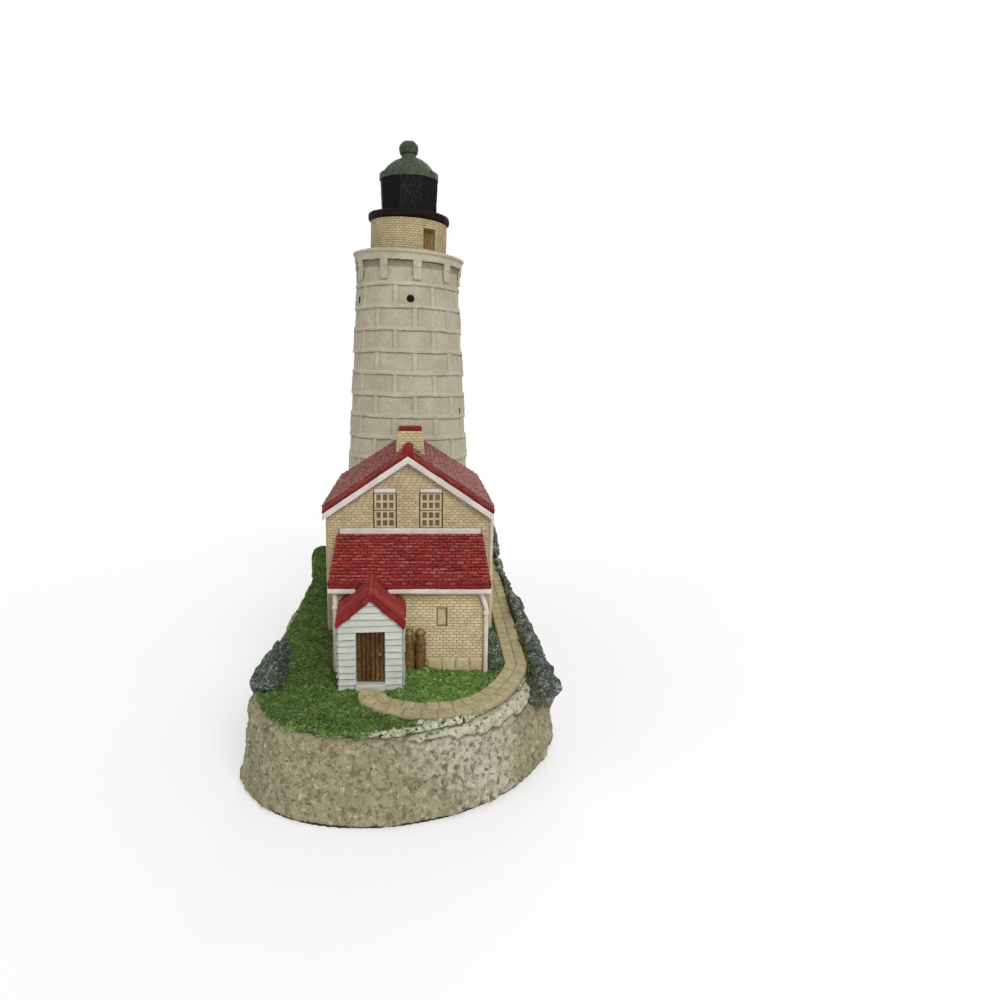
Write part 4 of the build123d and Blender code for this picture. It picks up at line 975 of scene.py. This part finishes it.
brick_course, brick_length, brick_joint = 0.57, 1.3, 0.08
brick_proud, brick_bevel, brick_wash = (0.14, 0.1), 0.04, 0.55
print("bricks:", brick_length, "by", brick_course, "mm")

# %% [markdown]
# ## Watch room
# Under the lamp is a round room of very small bricks, with a door in a deep niche that faces right.
# The same courses are laid on the unrolled wall and then wrapped round it, with the niche left out.

# %% Bricks of the watch room
rng = np.random.default_rng(7)
RIGHT, BACK, UP = np.array((1.0, 0, 0)), np.array((0, 1.0, 0)), np.array((0, 0, 1.0))
watch_lo, watch_hi = room("watch_room")
watch_radius = (watch_hi[0] - watch_lo[0]) / 2
watch_height = room("lantern_deck")[0][2] - watch_lo[2]
niche_angle, niche_wide, niche_tall, niche_depth = 33.0, 3.8, 5.6, 1.9
niche_u = math.radians(niche_angle + 180) * watch_radius
watch_course, watch_length, watch_proud, least_stretch = 0.62, 1.25, (0.12, 0.08), 0.25


def wrap(local):
    """Wraps points of the unrolled wall round the watch room."""
    turn = np.degrees(local[:, 0] / watch_radius) - 180
    return dip(around(turn, watch_radius + local[:, 2], watch_lo[2] + local[:, 1]))


def cut(spans, start, end):
    """Spans with the stretch from start to end left out."""
    kept = []
    for left, right in spans:
        kept += [(left, min(right, start))] if start > left else []
        kept += [(max(left, end), right)] if end < right else []
    return [(left, right) for left, right in kept if right - left > least_stretch]


def watch_spans(v):
    """The wall all the way round, without the niche."""
    spans = [(0.0, 2 * math.pi * watch_radius)]
    return cut(spans, niche_u - niche_wide / 2, niche_u + niche_wide / 2) if v < niche_tall else spans


watch = recast("watch_room", 0.15, 1, ((2.0, 0.03),), 1.0, dip)
wall = watch.points[0][np.array(watch.faces)].mean(1)
sunk = np.hypot(wall[:, 0] - tower_x, wall[:, 1] - tower_y) < watch_radius - 0.5
watch.coats = np.where(sunk, 0, 1).tolist()
cells = courses(watch_height, watch_course, watch_length, brick_joint, watch_spans, rng)
blocks(watch, wrap, cells, watch_proud, brick_bevel, rng, tones=0.08, washed=0.8)
watch.fire("watch_bricks", "watch_brick", [watch_cream, watch_mortar], "watch_room")

# %% Door of the watch room
plank_joint = 0.08
turn = math.radians(niche_angle)
out = np.array((math.sin(turn), -math.cos(turn), 0))
aside = np.array((math.cos(turn), math.sin(turn), 0))
niche_back = np.array((tower_x, tower_y, watch_lo[2])) + out * (watch_radius - niche_depth)
niche_foot = niche_back - aside * niche_wide / 2
planks = upright(np.linspace(0.05, niche_wide - 0.05, 4), plank_joint, 0.1, niche_tall - 0.15)
door = Clay()
blocks(door, flat(niche_foot, aside, UP), planks, (0.2, 0.2), 0.06, rng, tones=0.15, brushed=(0.35, 0.1))
door.points = [dip(points) for points in door.points]
door.fire("watch_door", "door_brown", [niche_door], "watch_room_door")

# %% [markdown]
# ## House walls
# The house is cream brick on all sides, with a gable at each end. The CAD walls stay as the mortar
# behind, with their window sockets, and the bricks are laid on them. The spans leave out the
# windows, the lintels and the part of the front wall that the low wing covers.

# %% Free stretches of the house walls
walls_lo, walls_hi = room("house_walls")
house_half = walls_hi[0]
house_angle = math.radians(32.3)
house_pitch = math.tan(house_angle)
eave_z = walls_hi[2] - house_half * house_pitch
wing_top_z = room("leanto_flashing")[1][2]
window_lo, window_hi = room("gable_window_left")
lintel_lo, lintel_hi = room("window_lintels")
wing_lo, wing_hi = room("leanto_walls")
window_wide, lintel_wide, least_half = window_hi[0] - window_lo[0], 4.6, 0.3
trim_margin, wing_margin = 0.12, 0.6


def gable_span(z):
    """Half width of the house wall at a height."""
    return house_half if z < eave_z else max(0.0, (walls_hi[2] - z) / house_pitch)


def back_spans(v):
    """The back gable from the floor up, from its own left corner."""
    half = gable_span(walls_lo[2] + v)
    return [(house_half - half, house_half + half)] if half > least_half else []


def front_spans(v):
    """Free stretches of the front gable from the floor up, from its left corner."""
    z = walls_lo[2] + v
    spans = back_spans(v)
    if z < wing_top_z:
        return cut(spans, house_half + wing_lo[0] - wing_margin, house_half + wing_hi[0] + wing_margin)
    edges, wide = (), 0.0
    if z < window_hi[2] + trim_margin:
        edges, wide = (window_lo[0], -window_hi[0]), window_wide
    elif z < lintel_hi[2] + trim_margin:
        edges, wide = (lintel_lo[0], lintel_hi[0] - lintel_wide), lintel_wide
    for edge in edges:
        start = house_half + edge
        spans = cut(spans, start - trim_margin, start + wide + trim_margin)
    return spans


def whole(length):
    """One free stretch as long as the wall."""
    return lambda v: [(0.0, length)]


print("house wall, half width and height:", round(house_half, 1), round(walls_hi[2] - walls_lo[2], 1), "mm")

# %% Bricks of the house
house_depth = walls_hi[1] - walls_lo[1]
house_bricks = Clay()
for corner, along, height, spans in (
    ((-house_half, walls_lo[1], walls_lo[2]), RIGHT, walls_hi[2] - walls_lo[2], front_spans),
    ((house_half, walls_hi[1], walls_lo[2]), -RIGHT, walls_hi[2] - walls_lo[2], back_spans),
    ((house_half, walls_lo[1], walls_lo[2]), BACK, eave_z - walls_lo[2], whole(house_depth)),
    ((-house_half, walls_hi[1], walls_lo[2]), -BACK, eave_z - walls_lo[2], whole(house_depth)),
):
    cells = courses(height, brick_course, brick_length, brick_joint, spans, rng)
    place = flat(corner, along, UP)
    # Painted shade: the house's bricks are toned darker than the wing's, to take back the stronger lamp
    # light on the high house walls.
    blocks(house_bricks, place, cells, brick_proud, brick_bevel, rng, washed=brick_wash, tint=-0.12)
house_bricks.fire("house_bricks", "house_brick", [brick_cream])


def keep(node, material):
    """The CAD node stays as it is, with a finish of the lesson's own."""
    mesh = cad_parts[node].data
    mesh.materials.clear()
    mesh.materials.append(material)
    print("kept:", node, "in", material.name)


keep("house_walls", mortar_tan)

# %% [markdown]
# ## Low wing
# The wing in front has the same brick on three sides, a niche on the right and larger stones at its
# foot. Its bricks leave out the porch, which stands before its left half.

# %% Free stretches of the low wing
porch_lo, porch_hi = room("porch_walls")
niche_lo, niche_hi = room("leanto_niche_panel")
wing_roof_lo, wing_roof_hi = room("leanto_roof")
wing_angle = math.radians(16.2)
wing_pitch = math.tan(wing_angle)
wing_eave_z = wing_hi[2] - (wing_hi[1] - wing_lo[1]) * wing_pitch
niche_margin = 0.2


def wing_front_spans(v):
    """Free stretches of the wing's front, from its left corner."""
    z = wing_lo[2] + v
    spans = cut([(0.0, wing_hi[0] - wing_lo[0])], porch_lo[0] - wing_lo[0], porch_hi[0] - wing_lo[0])
    if niche_lo[2] - niche_margin < z < niche_hi[2] + niche_margin:
        spans = cut(spans, niche_lo[0] - niche_margin - wing_lo[0], niche_hi[0] + niche_margin - wing_lo[0])
    return spans


def wing_side_spans(v, start_at_front):
    """The wing's side under its sloping roof, which rises towards the house."""
    z = wing_lo[2] + v
    depth = wing_hi[1] - wing_lo[1]
    covered = max(0.0, (z - wing_eave_z) / wing_pitch)
    if covered > depth - least_half:
        return []
    return [(covered, depth)] if start_at_front else [(0.0, depth - covered)]


print("wing roof falls to", round(wing_eave_z, 1), "mm")

# %% Bricks of the low wing
wing_height, front_height = wing_hi[2] - wing_lo[2], wing_eave_z - wing_lo[2]
wing_bricks = Clay()
for corner, along, height, spans in (
    (wing_lo, RIGHT, front_height, wing_front_spans),
    ((wing_hi[0], *wing_lo[1:]), BACK, wing_height, lambda v: wing_side_spans(v, True)),
    ((wing_lo[0], wing_hi[1], wing_lo[2]), -BACK, wing_height, lambda v: wing_side_spans(v, False)),
):
    cells = courses(height, brick_course, brick_length, brick_joint, spans, rng)
    blocks(wing_bricks, flat(corner, along, UP), cells, brick_proud, brick_bevel, rng, washed=brick_wash)
wing_bricks.fire("wing_bricks", "house_brick", [brick_cream])
keep("leanto_walls", mortar_tan)
stones = recast("foundation_stones", 0.12, 4, ((1.3, 0.14), (0.5, 0.05)), 1.2)
stones.fire("foot_stones", "house_brick", [stone_cream], "foundation_stones")
# Painted shade: the niche panel is darkened a little all over, in its recess.
panel = recast("leanto_niche_panel", 0.1, 1, ((0.8, 0.04),), low=0.1)
panel.fire("niche_panel", "house_brick", [stone_cream], "leanto_niche_panel")

# %% [markdown]
# ## Chimney
# The chimney narrows towards its red cap. Its four faces lean in, so the bricks are laid along the
# leaning faces, and each course is a little shorter than the one under it.

# %% Bricks of the chimney
stack_lo, stack_hi = room("chimney_stack")
cap_lo, cap_hi = room("chimney_cap")
stack_height, head_margin = stack_hi[2] - stack_lo[2], 0.15
foot_half = (stack_hi[:2] - stack_lo[:2]) / 2
head_half = (cap_hi[:2] - cap_lo[:2]) / 2 + head_margin
stack_centre = (stack_lo[:2] + stack_hi[:2]) / 2
chimney_bricks = Clay()
for along, wide, deep in ((RIGHT, 0, 1), (BACK, 1, 0), (-RIGHT, 0, 1), (-BACK, 1, 0)):
    out = np.cross(along, UP)
    lean = foot_half[deep] - head_half[deep]
    narrow = foot_half[wide] - head_half[wide]
    corner = np.array((*stack_centre, stack_lo[2])) - along * foot_half[wide] + out * foot_half[deep]
    up = UP * stack_height - out * lean
    face_height = np.linalg.norm(up)
    cells = courses(
        face_height, brick_course, brick_length, brick_joint,
        lambda v: [(narrow * v / face_height, 2 * foot_half[wide] - narrow * v / face_height)], rng)
    blocks(chimney_bricks, flat(corner, along, up), cells, brick_proud, brick_bevel, rng, washed=brick_wash)
chimney_bricks.fire("chimney_bricks", "house_brick", [brick_cream])
keep("chimney_stack", mortar_tan)
cap = recast("chimney_cap", 0.1, 2, ((1.5, 0.05),), 2.0)
cap.fire("cap_casting", "roof_red", [edge_red], "chimney_cap")

# %% [markdown]
# ## Roofs
# The roofs are rows of small red shingles, brushed with dusty pink along their lower edges. The
# slab under them is the CAD roof, softened, and it shows as the deep red edge at the gable. The
# dusty colour runs over its upper half in a ragged line. The hand-set roof hangs a little lower at
# the front ends of its eaves than the CAD one, so its points are let down there.

# %% Laying shingles
shingle_proud, shingle_joint, shingle_bevel = (0.34, 0.05), 0.1, 0.07
house_shingle, wing_shingle, eave_shingle = (1.2, 1.5), (1.24, 1.55), (1.15, 1.7)
ridge_rise, ridge_half, ridge_gap, dusty_reach = 0.7, 1.2, 0.6, 0.7
eave_drop = 0.8
roof_lo, roof_hi = room("house_roof")


def eave_sag(points):
    """How far the roof hangs down: nothing at the ridge and the back, most at the front eaves."""
    to_front = (roof_hi[1] - points[:, 1]) / (roof_hi[1] - roof_lo[1])
    return eave_drop * to_front * np.abs(points[:, 0]) / roof_hi[0]


def let_down(points):
    """Points of the house roof, lowered by its sag."""
    return points - eave_sag(points)[:, None] * UP


def shingle(clay, corner, along, up, width, reach, size, brushed, bend=np.copy):
    """Shingles on a slope, from its lower edge up, in rows that sag a little."""
    slope = flat(corner, along, up)

    def sag(local):
        wave = 0.15 * lumps(local * (1, 0.3, 0), 4.0, 81, 2)
        return bend(slope(local + wave[:, None] * (0, 1, 0)))

    cells = courses(reach, *size, shingle_joint, whole(width), rng)
    blocks(
        clay, sag, cells, shingle_proud, shingle_bevel, rng, ragged=0.12, tones=0.16, brushed=brushed,
        washed=0.8)


print("house roof:", [round(value, 1) for value in roof_hi - roof_lo], "mm")

# %% Shingles of the house
slab = recast("house_roof", 0.18, 3, ((5.0, 0.12), (1.6, 0.14), (0.6, 0.1)), 2.2, let_down)
middles = slab.points[0][np.array(slab.faces)].mean(1)
slope_z = roof_hi[2] - ridge_rise - np.abs(middles[:, 0]) * house_pitch - eave_sag(middles)
dusty = slope_z - middles[:, 2] < dusty_reach + 0.3 * lumps(middles, 1.5, 82)
slab.coats = (dusty & (np.abs(middles[:, 0]) > ridge_half)).astype(int).tolist()
slab.fire("house_roof_slab", "roof_red", [edge_red, dusty_red], "house_roof")
house_shingles = Clay()
roof_depth = roof_hi[1] - roof_lo[1]
eave_top_z = roof_hi[2] - ridge_rise - roof_hi[0] * house_pitch
slope_reach = (roof_hi[0] - ridge_gap) / math.cos(house_angle)
for side in (1, -1):
    along = BACK * side
    up = UP * math.sin(house_angle) - RIGHT * side * math.cos(house_angle)
    corner = (side * roof_hi[0], roof_lo[1] if side > 0 else roof_hi[1], eave_top_z)
    shingle(house_shingles, corner, along, up, roof_depth, slope_reach, house_shingle, (0.6, 0.12), let_down)
house_shingles.fire("house_shingles", "roof_red", [dusty_red])

# %% Shingles of the low wing
slab = recast("leanto_roof", 0.18, 3, ((5.0, 0.08), (1.4, 0.08)), 1.6)
slab.fire("wing_roof_slab", "roof_red", [edge_red], "leanto_roof")
wing_shingles = Clay()
wing_roof_wide, wing_roof_deep = (wing_roof_hi - wing_roof_lo)[:2]
wing_reach = wing_roof_deep / math.cos(wing_angle) - 0.3
up = BACK * math.cos(wing_angle) + UP * math.sin(wing_angle)
corner = (*wing_roof_lo[:2], wing_roof_hi[2] - wing_roof_deep * wing_pitch)
shingle(wing_shingles, corner, RIGHT, up, wing_roof_wide, wing_reach, wing_shingle, (0.55, 0.05))
wing_eave = courses(eave_shingle[0], *eave_shingle, 0.06, whole(wing_roof_wide), rng)
blocks(
    wing_shingles, flat(corner, RIGHT, up), wing_eave, (0.5, 0.42), 0.08, rng, coat=1, ragged=0.08,
    brushed=(0.25, 0.0), washed=0.6)
wing_shingles.fire("wing_shingles", "roof_red", [roof_red, edge_red])

# %% [markdown]
# ## White trim
# Rake boards, flashing, gutters, downspouts and lintels are all the same off-white. They are cast
# with the house, so their edges are round and a grey wash lies beside them. The two pipes on the
# house's side walls have the colour of the brick at their feet. The left one has it all the way up
# and is pressed flat.

# %% Trim
pipe_flat = 0.4
for node, voxel in (
    ("front_fascia", 0.12), ("rear_fascia", 0.12), ("leanto_flashing", 0.1), ("window_lintels", 0.09),
    ("gutter_left", 0.1), ("gutter_right", 0.1), ("downspout_left", 0.09), ("downspout_right", 0.09),
    ("side_downspout_left", 0.09), ("side_downspout_right", 0.09),
):
    bend = let_down if node.endswith("fascia") else None
    trim = recast(node, voxel, 2, ((3.0, 0.05), (0.8, 0.02)), 1.8, bend)
    if node.startswith("side"):
        foot = trim.points[0][np.array(trim.faces)[:, 0], 2] < wing_eave_z
        trim.coats = foot.astype(int).tolist()
    if node == "side_downspout_left":
        trim.points[0][:, 0] = -house_half + pipe_flat * (trim.points[0][:, 0] + house_half)
        trim.coats = [1] * len(trim.faces)
    trim.fire(node + "_trim", "trim_white", [trim_white, brick_cream], node)

# %% [markdown]
# ## Gable windows
# Each sash has a cream frame and bars over dark panes, six over six with a wider rail where the
# sashes meet. The bars are blocks on the pane, so they cast real shadows at this small size.

# %% Sash windows
sash_frame, sash_bar, sash_rail, sash_gap, sash_inset, pane_depth = 0.52, 0.56, 0.42, 0.14, 0.1, 0.38
bar_places = (0.36, 0.64)
for node in ("gable_window_left", "gable_window_right"):
    low, high = room(node)
    wide, tall = high[0] - low[0], high[2] - low[2]
    window = Clay()
    glass = flat((low[0], low[1] + pane_depth, low[2]), RIGHT, UP)
    pane = [(0, wide, 0, tall)]
    blocks(window, glass, pane, (0.02, 0.02), 0.02, rng, coat=1, ragged=0, tones=0, washed=0.3)
    for foot, head in ((0, (tall - sash_gap) / 2), ((tall + sash_gap) / 2, tall)):
        left, right, centre = sash_inset, wide - sash_inset, (foot + head) / 2
        bars = [(left, right, foot, foot + sash_rail), (left, right, head - sash_rail, head)]
        bars += [(left, left + sash_frame, foot, head), (right - sash_frame, right, foot, head)]
        for place in np.array(bar_places) * wide:
            bars.append((place - sash_bar / 2, place + sash_bar / 2, foot, head))
        bars.append((left, right, centre - sash_bar / 2, centre + sash_bar / 2))
        blocks(window, glass, bars, (pane_depth - 0.05,) * 2, 0.06, rng, tones=0.05, brushed=(0.2, 0.2))
    window.fire(node + "_sash", "trim_white", [sash_cream, pane_olive], node)

# %% [markdown]
# ## Porch
# The porch is clad in white boards, each standing out at its lower edge over the one below. The
# boards follow the gable in front and leave out the plank door. The roof is smoother than the
# others: low red strips run down a deep red slab, which shows along the front edge.

# %% Clapboards
board_proud, board_joint, board_bevel = (0.42, 0.06), 0.06, 0.08
board_tilt = 0.03
board_height = 1.3
porch_angle = math.radians(40)
porch_pitch = math.tan(porch_angle)
porch_half = (porch_hi[0] - porch_lo[0]) / 2
porch_eave_z = porch_hi[2] - porch_half * porch_pitch
door_lo, door_hi = room("porch_door")
door_margin = 0.15
porch_depth = porch_hi[1] - porch_lo[1]


def porch_front_spans(v):
    """Free stretches of the porch's gable, from its left corner."""
    z = porch_lo[2] + v
    half = porch_half if z < porch_eave_z else (porch_hi[2] - z) / porch_pitch
    spans = [(porch_half - half, porch_half + half)] if half > least_half else []
    if door_lo[2] - 1.0 < z < door_hi[2] + 0.1:
        spans = cut(spans, door_lo[0] - door_margin - porch_lo[0], door_hi[0] + door_margin - porch_lo[0])
    return spans


gable_height, side_height = porch_hi[2] - porch_lo[2], porch_eave_z - porch_lo[2]
boards = Clay()
for corner, along, height, spans in (
    (porch_lo, RIGHT + board_tilt * UP, gable_height, porch_front_spans),
    ((porch_hi[0], *porch_lo[1:]), BACK, side_height, whole(porch_depth)),
    ((porch_lo[0], porch_hi[1], porch_lo[2]), -BACK, side_height, whole(porch_depth)),
):
    cells = courses(height, board_height, None, board_joint, spans, rng)
    blocks(
        boards, flat(corner, along, UP), cells, board_proud, board_bevel, rng, ragged=0.07, tones=0.03,
        brushed=(0.3, 0.1))
boards.fire("porch_boards", "clapboard", [board_white])
keep("porch_walls", board_white)
step = recast("porch_step", 0.1, 2, ((1.5, 0.06),), 2.0)
step.fire("step_casting", "clapboard", [board_white], "porch_step")

# %% Porch roof
cover_lo, cover_hi = room("porch_roof")
cover_half, cover_depth = (cover_hi[0] - cover_lo[0]) / 2, cover_hi[1] - cover_lo[1]
cover_lift, cover_thin, cover_thick, cover_lip = 1.1, 0.3, 1.4, 1.2
cover_under_z = cover_hi[2] - cover_thick / math.cos(porch_angle)


def rise_back(points):
    """Lifts the porch roof towards its back, where it dies into the wing's roof."""
    share = np.clip((points[:, 1] - cover_lo[1] - cover_lip) / (cover_depth - cover_lip), 0, 1)
    over_eave = points[:, 2] - cover_under_z + np.abs(points[:, 0] - porch_x) * porch_pitch
    thin = cover_thin * np.clip(over_eave, 0, None) * (1 - share)
    return points + share[:, None] * (0, cover_lift, cover_lift) - thin[:, None] * (0, 0, 1)


porch_cover = recast("porch_roof", 0.13, 2, ((3.0, 0.12), (0.9, 0.14)), 1.6, rise_back)
cover_points = porch_cover.points[0]
on_ridge = (np.abs(cover_points[:, 0] - porch_x) < 0.5) * (cover_points[:, 1] > cover_lo[1] + 0.6)
porch_cover.masks["high"][0] = porch_cover.masks["high"][0] + 0.5 * on_ridge
reach = cover_half / math.cos(porch_angle)
cover_eave_z = cover_hi[2] - cover_half * porch_pitch
for side, start_y, start_gap, end_gap in ((1, cover_lo[1], 0.7, 0.1), (-1, cover_hi[1], 0.1, 0.7)):
    up = UP * math.sin(porch_angle) - RIGHT * side * math.cos(porch_angle)
    place = flat((porch_x + side * cover_half, start_y, cover_eave_z), BACK * side, up)
    ribs = upright(np.linspace(start_gap, cover_depth - end_gap, 11), 0.1, 0.1, reach - 0.45)
    strips = Clay()
    blocks(strips, place, ribs, (0.24, 0.2), 0.1, rng, ragged=0.12, tones=0.2, brushed=(0.22, 0.26))
    masks = {mask: values[0] for mask, values in strips.masks.items()}
    porch_cover.add(rise_back(strips.points[0]), strips.faces, 1, False, **masks)
porch_cover.fire("porch_cover", "roof_red", [edge_red, roof_red], "porch_roof")

# %% [markdown]
# ## Doors and posts
# The porch door is upright planks, dark brown with tan streaks, and the watch room has a small one
# of the same kind. The two posts by the porch are rounded and brushed with tan on their tops.

# %% Plank door and knob
planks = Clay()
plank_count, plank_proud = 6, 0.25
door_wide, door_tall = door_hi[0] - door_lo[0], door_hi[2] - door_lo[2]
cells = upright(np.linspace(0, door_wide, plank_count + 1), plank_joint, 0, door_tall)
leaf = flat((door_lo[0], door_lo[1] + plank_proud, door_lo[2]), RIGHT, UP)
blocks(planks, leaf, [(0, door_wide, 0, door_tall)], (0.02, 0.02), 0.0, rng, ragged=0, tones=0)
blocks(planks, leaf, cells, (plank_proud,) * 2, 0.08, rng, ragged=0.04, tones=0.3, brushed=(0.35, 0.2))
planks.fire("door_planks", "door_brown", [plank_brown], "porch_door")
recast("door_knob", 0.06, 1, ()).fire("knob_turned", "knob", [knob_brass], "door_knob")

# %% Posts by the porch
neck_share, neck_depth, head_share, head_swell = 0.8, 0.24, 0.93, 0.3
for node in ("bollard_left", "bollard_right"):
    low, high = room(node)
    post = recast(node, 0.1, 2, ((1.6, 0.08), (0.45, 0.05)), 2.2)
    wood = post.points[0]
    share = (wood[:, 2] - low[2]) / (high[2] - low[2])
    axis = (low[:2] + high[:2]) / 2
    grain = 0.07 * lumps(wood * (1, 1, 0.12), 0.5, 71, 2)
    girth = 1 - neck_depth * np.exp(-((share - neck_share) / 0.04) ** 2) + grain
    girth += head_swell * np.exp(-((share - head_share) / 0.05) ** 2)
    wood[:, :2] = axis + (wood[:, :2] - axis) * girth[:, None]
    post.masks["high"][0] = np.clip(post.masks["high"][0] + 4 * grain + 0.4 * (share > neck_share), 0, 1)
    post.fire(node + "_post", "door_brown", [post_brown], node)
